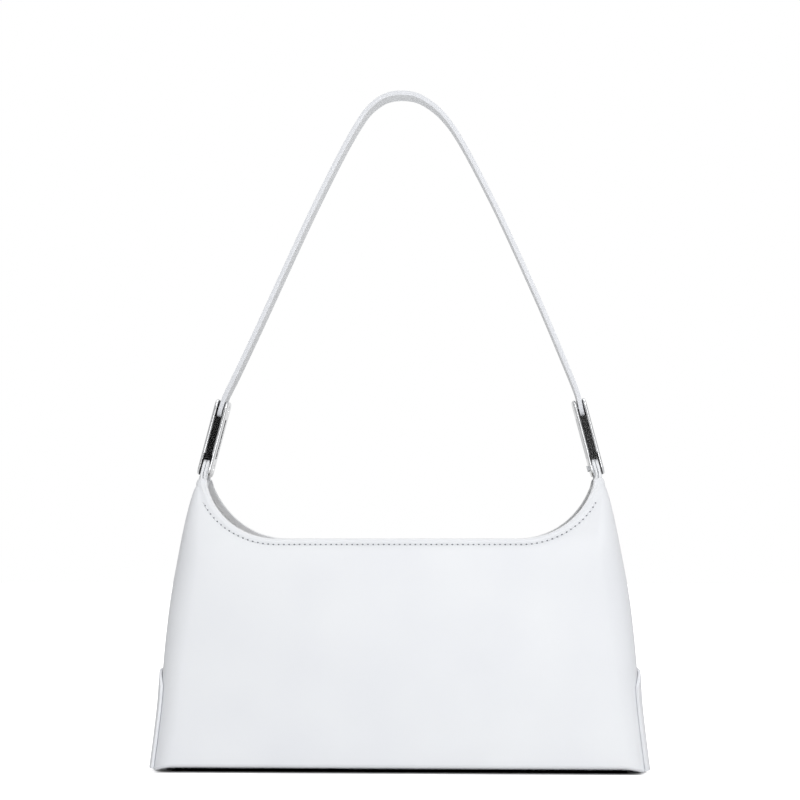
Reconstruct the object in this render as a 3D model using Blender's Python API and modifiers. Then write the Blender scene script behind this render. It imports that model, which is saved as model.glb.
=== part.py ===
"""Shoulder bag: A-shaped leather body with a scooped rim, two chrome links and one strap.

Metres, +Z up, -Y is the front. The origin is on the ground under the middle of the bag.
The leather body is a stack of sheets that all follow one body surface at their own depth.
"""

import math

import bmesh
import bpy
from mathutils import Matrix, Vector

MM = 0.001

# Fits
GAP = 0.3 * MM
OVERRUN = 5.0 * MM

# Leather, board and cloth
PANEL_THICK = 1.5 * MM
EAR_PLY_THICK = 1.5 * MM
FACING_THICK = 1.0 * MM
LINING_THICK = 0.8 * MM
LINING_SLACK = 1.0 * MM
PATCH_THICK = 1.6 * MM
BOARD_THICK = 2.0 * MM

# Body
BASE_HALF_WIDTH = 136.8 * MM
BASE_HALF_DEPTH = 37.0 * MM
SHOULDER_HEIGHT = 163.0 * MM
CORNER_RADIUS_BASE = 12.0 * MM
CORNER_RADIUS_TOP = 2.4 * MM
FRONT_ROLL_RADIUS = 7.0 * MM
SIDE_ROLL_RADIUS = 2.5 * MM
FRONT_TURN_IN = 4.0 * MM
SIDE_TURN_IN = 5.0 * MM
SEAM_INSET = 1.2 * MM
BULGE = 2.5 * MM
ARCH_RISE = 2.6 * MM
FOOT_MARGIN = 3.0 * MM
ARCH_RUN = 17.5 * MM
ARCH_FADE = 30.0 * MM

# Half width of the body at shares of the shoulder height, as shares of the base's half width
HEIGHT_SHARES = (0.0, 0.118, 0.237, 0.355, 0.474, 0.602, 0.72, 0.839, 0.923, 1.0)
WIDTH_SHARES = (1.0, 0.98, 0.963, 0.9545, 0.9425, 0.925, 0.9, 0.8735, 0.8535, 0.829)
# Its half depth in the same way: the walls stand nearly upright to the rim, then pinch to the ears
LEVEL_SHARES = (0.0, 0.35, 0.6, 0.79, 0.9, 1.0)
DEPTH_SHARES = (1.0, 0.945, 0.89, 0.81, 0.6, 0.292)

# Rim
RIM_HEIGHT = 128.5 * MM
SCOOP_FLAT_HALF = 67.3 * MM
SCOOP_HALF_WIDTH = 110.3 * MM
SCOOP_CURVE_RISE = 43.0 * MM

# Ear and links
LINK_LEAN = math.radians(14.85)
LINK_PITCH = 34.1 * MM
EAR_PIN_RISE = 5.8 * MM
TAB_TIP_RISE = 5.5 * MM
TAB_CORNER = 4.5 * MM
LINK_THICK = 7.5 * MM
LINK_DEPTH = 15.0 * MM
LINK_END = 5.0 * MM
LINK_CORNER = 4.0 * MM
LINK_EDGE_BEVEL = 0.45 * MM
EAR_SLOT = 5.2 * MM
STRAP_SLOT = 3.5 * MM
CORE_CLEARANCE = 0.6 * MM
GROOVE_WIDTH = 3.2 * MM
GROOVE_DEPTH = 1.4 * MM
PANEL_RECESS_DEPTH = 0.4 * MM
PANEL_RECESS_WIDTH = 5.0 * MM
PANEL_RECESS_LENGTH = 23.0 * MM

# Pivot screws
SCREW_RADIUS = 1.2 * MM
SCREW_HEAD_RADIUS = 2.3 * MM
SCREW_HEAD_THICK = 0.6 * MM
SCREW_SLOT_WIDTH = 0.5 * MM
SCREW_SLOT_DEPTH = 0.3 * MM
LEATHER_HOLE_CLEARANCE = 0.5 * MM

# Strap
STRAP_PLY_THICK = 1.05 * MM
STRAP_HALF_WIDTH = 7.5 * MM
STRAP_END_RADIUS = 6.5 * MM
STRAP_STRAIGHT = 7.0 * MM
STRAP_TAPER = 21.0 * MM
STRAP_RISE = 177.2 * MM

# The strap's middle line from the apex down to the upper screw, as shares of its half span and its rise
STRAP_SPAN_SHARES = (0.0, 0.137, 0.275, 0.484, 0.695, 0.892, 1.0)
STRAP_RISE_SHARES = (1.0, 0.977, 0.889, 0.665, 0.407, 0.155, 0.0)

# Corner patches
PATCH_HEIGHT = 56.0 * MM
PATCH_FOOT = 1.6 * MM
PATCH_TOP_CORNER = 9.0 * MM
PATCH_WRAP = math.radians(32.0)

# Inside
FACING_DROP = 28.0 * MM
BOARD_RISE = 4.6 * MM
POCKET_HALF_WIDTH = 62.0 * MM
POCKET_FOOT = 32.0 * MM
POCKET_DROP = 7.0 * MM
SNAP_DROP = 15.0 * MM
SNAP_RADIUS = 8.5 * MM
SNAP_THICK = 2.4 * MM
SNAP_BOSS_RADIUS = 3.2 * MM
SNAP_BOSS_RISE = 1.8 * MM

# Mesh detail
CORNER_STEPS = 3
ROLL_STEPS = 3
BOARD_CORNER_STEPS = 4
LINK_CORNER_STEPS = 4
PATCH_WRAP_STEPS = 2
POCKET_STEPS = 4
ROUND_SIDES = 24
SCREW_SIDES = 16
PATH_STEPS = 5
SLOPE_STEP = 0.5 * MM
TINY_MERGE = 0.01 * MM
BISECTION_STEPS = 40

# Where the front sheets have their columns, from the middle out, as shares of the flat front
COLUMN_SHARES = (0.0, 0.3, 0.56, 0.64, 0.71, 0.77, 0.82, 0.865, 0.9, 0.93, 0.96, 1.0)
# Where every sheet has its rows: below the rim's band from the foot up, and in the band
WALL_ROW_SHARES = (0.0, 0.13, 0.29, 0.46, 0.64, 0.82, 1.0)
BAND_ROW_SHARES = (0.35, 0.65, 0.8, 0.9, 1.0)
# Across a side sheet, in a patch's rounded top, along the base's curved runs and up the pocket
SIDE_COLUMN_SHARES = (-1.0, -0.5, 0.0, 0.5, 1.0)
PATCH_TOP_SHARES = (0.3, 0.6, 0.85, 1.0)
ARCH_RUN_SHARES = (0.0, 0.2, 0.4, 0.6, 0.8, 1.0)
POCKET_ROW_SHARES = (0.0, 0.25, 0.5, 0.75, 1.0)
# Degrees round the ear's tip and round the strap's end
EAR_TIP_ANGLES = (0, 30, 55, 75, 90)
STRAP_TIP_ANGLES = (0, 25, 50, 70, 83)
# A patch's top edge is flat in the middle and rounds off towards its corners
PATCH_TOP_POWER = 4

# The whole part hangs on these places, which the values above give
SHOULDER_HALF_WIDTH = BASE_HALF_WIDTH * WIDTH_SHARES[-1]
EAR_PIN_HEIGHT = SHOULDER_HEIGHT + EAR_PIN_RISE
TAB_TOP = EAR_PIN_HEIGHT + TAB_TIP_RISE * math.cos(LINK_LEAN)
EAR_STACK = PANEL_THICK + GAP + EAR_PLY_THICK
EAR_PIN_X = (
    SHOULDER_HALF_WIDTH
    - EAR_PIN_RISE * math.tan(LINK_LEAN)
    - EAR_STACK / 2 / math.cos(LINK_LEAN)
)
STRAP_PIN_X = EAR_PIN_X - LINK_PITCH * math.sin(LINK_LEAN)
STRAP_PIN_HEIGHT = EAR_PIN_HEIGHT + LINK_PITCH * math.cos(LINK_LEAN)
INNER_DEPTH = PANEL_THICK + GAP
LINING_DEPTH = INNER_DEPTH + LINING_SLACK
LINING_SET_DOWN = GAP + FACING_THICK
POCKET_TOP = RIM_HEIGHT - FACING_DROP - POCKET_DROP


def clear_scene():
    """Start from an empty scene."""
    for old in list(bpy.data.objects):
        bpy.data.objects.remove(old, do_unlink=True)


def new_collection(name):
    collection = bpy.data.collections.new(name)
    bpy.context.scene.collection.children.link(collection)
    return collection


def new_material(name, color, roughness, metallic=0.0):
    material = bpy.data.materials.new(name)
    material.use_nodes = True
    shader = material.node_tree.nodes["Principled BSDF"]
    shader.inputs["Base Color"].default_value = color + (1.0,)
    shader.inputs["Roughness"].default_value = roughness
    shader.inputs["Metallic"].default_value = metallic
    return material


def smooth_read(places, values, place):
    """Value at a place along a table, on a smooth curve through its entries."""
    last = len(places) - 1
    if place <= places[0]:
        return values[0]
    if place >= places[last]:
        return values[last]
    i = next(k for k in range(last) if places[k + 1] >= place)
    span = places[i + 1] - places[i]
    share = (place - places[i]) / span

    def slope(k):
        low = max(k - 1, 0)
        high = min(k + 1, last)
        return (values[high] - values[low]) / (places[high] - places[low])

    square = share * share
    cube = square * share
    return (
        values[i] * (2 * cube - 3 * square + 1)
        + span * slope(i) * (cube - 2 * square + share)
        + values[i + 1] * (3 * square - 2 * cube)
        + span * slope(i + 1) * (cube - square)
    )


def half_width(z):
    """Half width of the body at a height; above the shoulder the ear leans in as the link does."""
    if z > SHOULDER_HEIGHT:
        return SHOULDER_HALF_WIDTH - (z - SHOULDER_HEIGHT) * math.tan(LINK_LEAN)
    return BASE_HALF_WIDTH * smooth_read(HEIGHT_SHARES, WIDTH_SHARES, z / SHOULDER_HEIGHT)


def half_depth(z):
    """Half depth of the body: nearly even up to the rim, then pinched to the shoulder."""
    return BASE_HALF_DEPTH * smooth_read(LEVEL_SHARES, DEPTH_SHARES, z / SHOULDER_HEIGHT)


def corner_radius(z):
    share = min(z / SHOULDER_HEIGHT, 1.0)
    return CORNER_RADIUS_BASE + share * (CORNER_RADIUS_TOP - CORNER_RADIUS_BASE)


def flat_half_depth(z):
    """Half depth of the flat side between the two corner curves."""
    return half_depth(z) - corner_radius(z)


def seam_half_depth(z):
    """Where the side seams lie: a little inside the corner curves."""
    return flat_half_depth(z) - SEAM_INSET


def side_slant(z):
    """How much longer a level line through the side leather is than its thickness."""
    rise = half_width(z - SLOPE_STEP) - half_width(z + SLOPE_STEP)
    return math.hypot(1.0, rise / (2 * SLOPE_STEP))


def front_slant(z):
    rise = half_depth(z - SLOPE_STEP) - half_depth(z + SLOPE_STEP)
    return math.hypot(1.0, rise / (2 * SLOPE_STEP))


FLAT_FOOT_X = BASE_HALF_WIDTH - SIDE_ROLL_RADIUS - SIDE_TURN_IN


def arch(x):
    """Height of the underside over the ground: flat at the ends, raised between them."""
    share = min(max((FLAT_FOOT_X - FOOT_MARGIN - abs(x)) / ARCH_RUN, 0.0), 1.0)
    return ARCH_RISE * (1 - (1 - share) ** 2)


def scoop(x):
    """Height of the rim over a place across the bag: level, then an ellipse up to the ear."""
    share = (abs(x) - SCOOP_FLAT_HALF) / (SCOOP_HALF_WIDTH - SCOOP_FLAT_HALF)
    if share <= 0:
        return RIM_HEIGHT
    if share >= 1:
        return RIM_HEIGHT + SCOOP_CURVE_RISE
    return RIM_HEIGHT + SCOOP_CURVE_RISE * (1 - math.sqrt(1 - share * share))


def front_x(share, z):
    return share * (half_width(z) - corner_radius(z))


def rim_of_column(share):
    """Height where a column of the front sheet meets the scoop, at most the shoulder."""
    low = RIM_HEIGHT
    high = SHOULDER_HEIGHT
    if scoop(front_x(share, high)) >= high:
        return high
    for _ in range(BISECTION_STEPS):
        middle = (low + high) / 2
        if scoop(front_x(share, middle)) > middle:
            low = middle
        else:
            high = middle
    return low


def wall_point(share, angle, z, depth, roll=0.0, turn_in=0.0):
    """A point of the front wall, sunk below the body surface by a depth.

    share runs from -1 to 1 across the flat front, and angle from 90 degrees there to 0 on the side.
    An angle of None is the side seam. roll is how far the foot has rolled under, in radians, and
    turn_in how far it runs on flat.
    """
    inset = 0.0
    if angle is None:
        inset = SEAM_INSET
        angle = 0.0
    blend = angle / (math.pi / 2)
    roll_radius = SIDE_ROLL_RADIUS + blend * (FRONT_ROLL_RADIUS - SIDE_ROLL_RADIUS)
    turn = turn_in * (SIDE_TURN_IN + blend * (FRONT_TURN_IN - SIDE_TURN_IN))
    slant = side_slant(z) + blend * (front_slant(z) - side_slant(z))
    sink = depth * slant + roll_radius * (1 - math.cos(roll)) + turn
    radius = corner_radius(z) - sink
    side = math.copysign(1.0, share)
    x = front_x(share, z) + side * radius * math.cos(angle)
    y = flat_half_depth(z) + radius * math.sin(angle) - inset
    puff = BULGE * (1 - share * share) * math.sin(math.pi * min(z / RIM_HEIGHT, 1.0))
    lift = arch(x) * min(max(1 - (z - roll_radius) / ARCH_FADE, 0.0), 1.0)
    drop = roll_radius * (1 - math.sin(roll)) if roll else 0.0
    height = z if not roll else drop
    return Vector((x, -(y + puff), height + lift))


def wall_columns():
    """(share, angle) of each column of a front sheet, from the left seam to the right one."""
    arc = [None] + [math.pi / 2 * i / CORNER_STEPS for i in range(CORNER_STEPS)]
    left = [(-1.0, angle) for angle in arc]
    shares = [-s for s in reversed(COLUMN_SHARES)] + list(COLUMN_SHARES[1:])
    flat = [(share, math.pi / 2) for share in shares]
    right = [(1.0, angle) for angle in reversed(arc)]
    return left + flat + right


def roll_height(angle):
    blend = (angle or 0.0) / (math.pi / 2)
    return SIDE_ROLL_RADIUS + blend * (FRONT_ROLL_RADIUS - SIDE_ROLL_RADIUS)


def top_of_column(share, angle):
    if angle is None or angle < math.pi / 2:
        return SHOULDER_HEIGHT
    return rim_of_column(share)


def wall_heights(foot, top):
    """Heights of the rows up to the band under the rim."""
    band = top - FACING_DROP
    return [foot + s * (band - foot) for s in WALL_ROW_SHARES]


def band_heights(top):
    """Heights of the rows in the band under the rim, without its lower edge."""
    return [top - FACING_DROP * (1 - s) for s in BAND_ROW_SHARES]


def sheet_object(name, columns, closed=False):
    """An open sheet through columns of points, each column from low to high."""
    mesh = bpy.data.meshes.new(name)
    build = bmesh.new()
    rows = len(columns[0])
    grid = [[build.verts.new(point) for point in column] for column in columns]
    count = len(grid)
    for i in range(count if closed else count - 1):
        here = grid[i]
        there = grid[(i + 1) % count]
        for j in range(rows - 1):
            build.faces.new((here[j], there[j], there[j + 1], here[j + 1]))
    build.to_mesh(mesh)
    build.free()
    return bpy.data.objects.new(name, mesh)


def finish_piece(piece, material):
    parts.objects.link(piece)
    piece.data.materials.append(material)
    return piece


def add_thickness(piece, thick, offset=-1.0):
    """Give an open sheet its thickness, on the side away from its normals by default."""
    solidify = piece.modifiers.new("thickness", "SOLIDIFY")
    solidify.thickness = thick
    solidify.offset = offset
    solidify.use_even_offset = True
    return piece


def add_cut(piece, cutter):
    cut = piece.modifiers.new("cut " + cutter.name, "BOOLEAN")
    cut.operation = "DIFFERENCE"
    cut.solver = "EXACT"
    cut.object = cutter


def keep_cutter(cutter):
    cutters.objects.link(cutter)
    cutter.hide_render = True
    cutter.display_type = "WIRE"
    return cutter


def carry(carrier, piece):
    """Parent a piece to what carries it, where it stands."""
    piece.parent = carrier
    piece.matrix_parent_inverse = carrier.matrix_world.inverted()


def mirrored(points):
    """The same columns on the back of the bag, in the order that keeps the normals out."""
    turned = [[Vector((p.x, -p.y, p.z)) for p in column] for column in points]
    return list(reversed(turned))


def panel_points():
    """Outer leather: turned in under the foot, rolled round it and up to the rim."""
    columns = []
    for share, angle in wall_columns():
        column = [wall_point(share, angle, 0.0, 0.0, math.pi / 2, 1.0)]
        for k in range(ROLL_STEPS):
            roll = math.pi / 2 * (1 - k / ROLL_STEPS)
            column.append(wall_point(share, angle, 0.0, 0.0, roll))
        top = top_of_column(share, angle)
        for z in wall_heights(roll_height(angle), top) + band_heights(top):
            column.append(wall_point(share, angle, z, 0.0))
        columns.append(column)
    return columns


def band_points():
    """The facing's band under the rim, behind the flat front of the outer leather."""
    columns = []
    for share, angle in wall_columns():
        if angle != math.pi / 2:
            continue
        top = top_of_column(share, angle)
        heights = [top - FACING_DROP] + band_heights(top)
        columns.append([wall_point(share, angle, z, INNER_DEPTH) for z in heights])
    return columns


def make_panels():
    front = sheet_object("front_panel", panel_points())
    finish_piece(add_thickness(front, PANEL_THICK), leather)
    back = sheet_object("back_panel", mirrored(panel_points()))
    finish_piece(add_thickness(back, PANEL_THICK), leather)


def make_facings():
    front = sheet_object("front_facing", band_points())
    finish_piece(add_thickness(front, FACING_THICK), leather)
    back = sheet_object("back_facing", mirrored(band_points()))
    finish_piece(add_thickness(back, FACING_THICK), leather)


TAB_HALF_WIDTH = seam_half_depth(SHOULDER_HEIGHT) - GAP


def gusset_half_width(z):
    """Half width of a side sheet: up to its seams, then the ear's tab with a rounded tip."""
    if z <= SHOULDER_HEIGHT:
        return seam_half_depth(z) - GAP
    corner_foot = TAB_TOP - TAB_CORNER * math.cos(LINK_LEAN)
    if z <= corner_foot:
        return TAB_HALF_WIDTH
    along = (z - corner_foot) / math.cos(LINK_LEAN)
    return TAB_HALF_WIDTH - TAB_CORNER + math.sqrt(max(TAB_CORNER**2 - along**2, 0.0))


def tip_heights():
    """Heights of the rows round the ear's tip."""
    reach = TAB_CORNER * math.cos(LINK_LEAN)
    return [TAB_TOP - reach * (1 - math.sin(math.radians(a))) for a in EAR_TIP_ANGLES]


def gusset_points(side, depth, heights, with_foot):
    """Columns of a side sheet, front to back or back to front so that its normals point out."""
    columns = []
    for share in SIDE_COLUMN_SHARES:
        column = []
        if with_foot:
            edge = share * (seam_half_depth(0.0) - GAP)
            turned = half_width(0.0) - SIDE_ROLL_RADIUS - SIDE_TURN_IN
            column.append(Vector((side * turned, edge, 0.0)))
            for k in range(ROLL_STEPS):
                roll = math.pi / 2 * (1 - k / ROLL_STEPS)
                x = half_width(0.0) - SIDE_ROLL_RADIUS * (1 - math.cos(roll))
                z = SIDE_ROLL_RADIUS * (1 - math.sin(roll))
                column.append(Vector((side * x, edge, z)))
        for z in heights:
            x = half_width(z) - depth * side_slant(z)
            column.append(Vector((side * x, share * gusset_half_width(z), z)))
        columns.append(column)
    return columns if side > 0 else list(reversed(columns))


def pin_frame(side, x, z):
    """Frame of a pivot: its Z runs along the screw, towards the middle of the bag."""
    lean = Matrix.Rotation(-side * (LINK_LEAN + math.pi / 2), 4, "Y")
    return Matrix.Translation((side * x, 0.0, z)) @ lean


def cylinder_object(name, radius, length, matrix, sides=ROUND_SIDES):
    mesh = bpy.data.meshes.new(name)
    build = bmesh.new()
    bmesh.ops.create_cone(
        build, cap_ends=True, segments=sides, radius1=radius, radius2=radius, depth=length
    )
    build.to_mesh(mesh)
    build.free()
    piece = bpy.data.objects.new(name, mesh)
    piece.matrix_world = matrix
    return piece


def make_gusset(side, label):
    top = SHOULDER_HEIGHT
    upper = band_heights(top) + tip_heights()
    heights = wall_heights(SIDE_ROLL_RADIUS, top) + upper
    outer = sheet_object("gusset_" + label, gusset_points(side, 0.0, heights, True))
    finish_piece(add_thickness(outer, PANEL_THICK), leather)
    inner_points = gusset_points(side, INNER_DEPTH, [top - FACING_DROP] + upper, False)
    inner = sheet_object("ear_facing_" + label, inner_points)
    finish_piece(add_thickness(inner, EAR_PLY_THICK), leather)
    hole = cylinder_object(
        "ear_hole_" + label,
        SCREW_RADIUS + LEATHER_HOLE_CLEARANCE,
        EAR_STACK + OVERRUN,
        pin_frame(side, EAR_PIN_X, EAR_PIN_HEIGHT),
    )
    keep_cutter(hole)
    add_cut(outer, hole)
    add_cut(inner, hole)


def make_patch(side, label):
    """Leather patch over the lower side, wrapped a little way round both corners."""
    arc = [PATCH_WRAP * (1 - k / PATCH_WRAP_STEPS) for k in range(PATCH_WRAP_STEPS)]
    level = PATCH_HEIGHT - PATCH_TOP_CORNER
    wall = wall_heights(SIDE_ROLL_RADIUS, SHOULDER_HEIGHT)
    lower = [PATCH_FOOT] + [z for z in wall if SIDE_ROLL_RADIUS < z < level]
    depth = -(GAP + PATCH_THICK)

    def place(z, angle, share):
        if share is None:
            point = wall_point(side, angle, z, depth)
            return Vector((side * abs(point.x), point.y, z))
        return Vector((side * (half_width(z) - depth * side_slant(z)), share * flat_half_depth(z), z))

    across = [(angle, None, 1) for angle in arc]
    across += [(0.0, share, 1) for share in SIDE_COLUMN_SHARES]
    across += [(angle, None, -1) for angle in reversed(arc)]
    columns = []
    last = len(across) - 1
    for i, (angle, share, front) in enumerate(across):
        edge_share = abs(2 * i / last - 1)
        rise = PATCH_TOP_CORNER * (1 - edge_share**PATCH_TOP_POWER)
        column = []
        for z in lower + [level + rise * s for s in PATCH_TOP_SHARES]:
            point = place(z, angle, share)
            column.append(Vector((point.x, front * point.y, point.z)))
        columns.append(column)
    if side < 0:
        columns.reverse()
    patch = sheet_object("corner_patch_" + label, columns)
    finish_piece(add_thickness(patch, PATCH_THICK), leather)


def make_base():
    """Leather underside between the turned-in walls, and the board that stiffens it."""
    half_x = FLAT_FOOT_X - GAP
    half_y = half_depth(0.0) - FRONT_ROLL_RADIUS - FRONT_TURN_IN - GAP
    xs = [half_x] + [FLAT_FOOT_X - FOOT_MARGIN - ARCH_RUN * s for s in ARCH_RUN_SHARES] + [0.0]
    xs = xs + [-x for x in reversed(xs[:-1])]
    points = []
    for side in (-1, 0, 1):
        column = [Vector((x, side * half_y, arch(x))) for x in reversed(xs)]
        for corner in (column[0], column[-1]):
            corner.y = side * seam_half_depth(0.0)
        points.append(column)
    panel = sheet_object("base_panel", points)
    finish_piece(add_thickness(panel, PANEL_THICK), leather)
    board_half_x = half_width(BOARD_RISE) - INNER_DEPTH - GAP
    board_half_y = half_depth(0.0) - FRONT_ROLL_RADIUS + GAP
    mesh = bpy.data.meshes.new("base_board")
    build = bmesh.new()
    bmesh.ops.create_cube(build, size=1.0)
    size = Vector((2 * board_half_x, 2 * board_half_y, BOARD_THICK))
    bmesh.ops.scale(build, vec=size, verts=build.verts)
    upright = [e for e in build.edges if abs(e.verts[0].co.z - e.verts[1].co.z) > BOARD_THICK / 2]
    bmesh.ops.bevel(
        build,
        geom=upright,
        offset=CORNER_RADIUS_BASE,
        segments=BOARD_CORNER_STEPS,
        profile=0.5,
        affect="EDGES",
    )
    build.to_mesh(mesh)
    build.free()
    board = bpy.data.objects.new("base_board", mesh)
    board.location = (0.0, 0.0, BOARD_RISE + BOARD_THICK / 2)
    finish_piece(board, board_stuff)


def make_lining():
    """Cloth sack: it hangs from the facings' lower edges and closes over the board."""
    floor = BOARD_RISE + BOARD_THICK + GAP

    def column(share, angle):
        rows = wall_heights(roll_height(angle), top_of_column(share, angle))
        points = [wall_point(share, angle, z, LINING_DEPTH) for z in [floor] + rows[1:]]
        points[0].z = floor
        facet = points[-1] - points[-2]
        points[-1] -= facet * (LINING_SET_DOWN / facet.z)
        return points

    front = [column(share, angle) for share, angle in wall_columns()]
    loop = front + [[Vector((p.x, -p.y, p.z)) for p in c] for c in reversed(front)]
    lining = sheet_object("lining", loop, closed=True)
    build = bmesh.new()
    build.from_mesh(lining.data)
    build.verts.ensure_lookup_table()
    rows = len(loop[0])
    build.faces.new([build.verts[i * rows] for i in reversed(range(len(loop)))])
    build.to_mesh(lining.data)
    build.free()
    finish_piece(add_thickness(lining, LINING_THICK), cloth)


def make_pocket():
    """Flat pocket sewn on the back lining."""
    depth = LINING_DEPTH + LINING_THICK + GAP
    columns = []
    for k in range(2 * POCKET_STEPS + 1):
        share_of_width = k / POCKET_STEPS - 1
        column = []
        for rise in POCKET_ROW_SHARES:
            z = POCKET_FOOT + rise * (POCKET_TOP - POCKET_FOOT)
            share = share_of_width * POCKET_HALF_WIDTH / front_x(1.0, z)
            column.append(wall_point(share, math.pi / 2, z, depth))
        columns.append(column)
    pocket = sheet_object("slip_pocket", mirrored(columns))
    finish_piece(add_thickness(pocket, LINING_THICK), cloth)


def turned_object(name, profile, sides=ROUND_SIDES):
    """A round piece from (radius, height) points, listed down its outer side from top to bottom."""
    mesh = bpy.data.meshes.new(name)
    mesh.from_pydata([(r, 0.0, h) for r, h in profile], [(i, i + 1) for i in range(len(profile) - 1)], [])
    piece = bpy.data.objects.new(name, mesh)
    screw = piece.modifiers.new("turn", "SCREW")
    screw.steps = sides
    screw.render_steps = sides
    screw.use_merge_vertices = True
    screw.merge_threshold = TINY_MERGE
    return piece


def make_snap():
    """Magnetic snap: a socket on the front facing and a stud on the back one."""
    z = RIM_HEIGHT - SNAP_DROP
    seat_depth = INNER_DEPTH + FACING_THICK + GAP
    here = wall_point(0.0, math.pi / 2, z, seat_depth)
    above = wall_point(0.0, math.pi / 2, z + SLOPE_STEP, seat_depth)
    lean = math.atan2(above.y - here.y, SLOPE_STEP)
    hole = SNAP_BOSS_RADIUS + GAP
    socket_profile = [
        (0.0, SNAP_THICK - SNAP_BOSS_RISE),
        (hole, SNAP_THICK - SNAP_BOSS_RISE),
        (hole, SNAP_THICK),
        (SNAP_RADIUS, SNAP_THICK),
        (SNAP_RADIUS, 0.0),
        (0.0, 0.0),
    ]
    stud_profile = [
        (0.0, SNAP_THICK + SNAP_BOSS_RISE),
        (SNAP_BOSS_RADIUS, SNAP_THICK + SNAP_BOSS_RISE),
        (SNAP_BOSS_RADIUS, SNAP_THICK),
        (SNAP_RADIUS, SNAP_THICK),
        (SNAP_RADIUS, 0.0),
        (0.0, 0.0),
    ]
    for name, profile, front in (("snap_socket", socket_profile, 1), ("snap_stud", stud_profile, -1)):
        piece = turned_object(name, profile)
        piece.location = (0.0, front * here.y, here.z)
        piece.rotation_euler = (-front * (math.pi / 2 + lean), 0.0, 0.0)
        finish_piece(piece, chrome)


def box_cutter(name, low, high, matrix):
    mesh = bpy.data.meshes.new(name)
    build = bmesh.new()
    bmesh.ops.create_cube(build, size=1.0)
    low = Vector(low)
    high = Vector(high)
    bmesh.ops.scale(build, vec=high - low, verts=build.verts)
    bmesh.ops.translate(build, vec=(low + high) / 2, verts=build.verts)
    build.to_mesh(mesh)
    build.free()
    piece = bpy.data.objects.new(name, mesh)
    piece.matrix_world = matrix
    return keep_cutter(piece)


def link_plate(name):
    """Plate with rounded corners, flat in X, from below the lower screw to above the upper one."""
    curve = bpy.data.curves.new(name, "CURVE")
    curve.dimensions = "2D"
    curve.fill_mode = "BOTH"
    curve.extrude = LINK_THICK / 2 - LINK_EDGE_BEVEL
    curve.bevel_depth = LINK_EDGE_BEVEL
    curve.bevel_resolution = 1
    curve.offset = -LINK_EDGE_BEVEL
    spline = curve.splines.new("POLY")
    half = LINK_DEPTH / 2
    foot = -LINK_END
    head = LINK_PITCH + LINK_END
    corners = (
        (half - LINK_CORNER, head - LINK_CORNER, 0),
        (-half + LINK_CORNER, head - LINK_CORNER, 90),
        (-half + LINK_CORNER, foot + LINK_CORNER, 180),
        (half - LINK_CORNER, foot + LINK_CORNER, 270),
    )
    outline = []
    for x, y, start in corners:
        for k in range(LINK_CORNER_STEPS + 1):
            turn = math.radians(start) + math.pi / 2 * k / LINK_CORNER_STEPS
            outline.append((x + LINK_CORNER * math.cos(turn), y + LINK_CORNER * math.sin(turn)))
    spline.points.add(len(outline) - 1)
    for point, (x, y) in zip(spline.points, outline):
        point.co = (x, y, 0.0, 1.0)
    spline.use_cyclic_u = True
    return curve


def mesh_from_curve(name, curve, turn):
    """A curve's solid as a mesh with its caps welded."""
    guide = bpy.data.objects.new(name + "_outline", curve)
    cutters.objects.link(guide)
    bpy.context.view_layer.update()
    graph = bpy.context.evaluated_depsgraph_get()
    mesh = bpy.data.meshes.new_from_object(guide.evaluated_get(graph))
    bpy.data.objects.remove(guide, do_unlink=True)
    build = bmesh.new()
    build.from_mesh(mesh)
    bmesh.ops.remove_doubles(build, verts=build.verts, dist=TINY_MERGE)
    bmesh.ops.transform(build, matrix=turn, verts=build.verts)
    build.to_mesh(mesh)
    build.free()
    mesh.name = name
    return mesh


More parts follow.
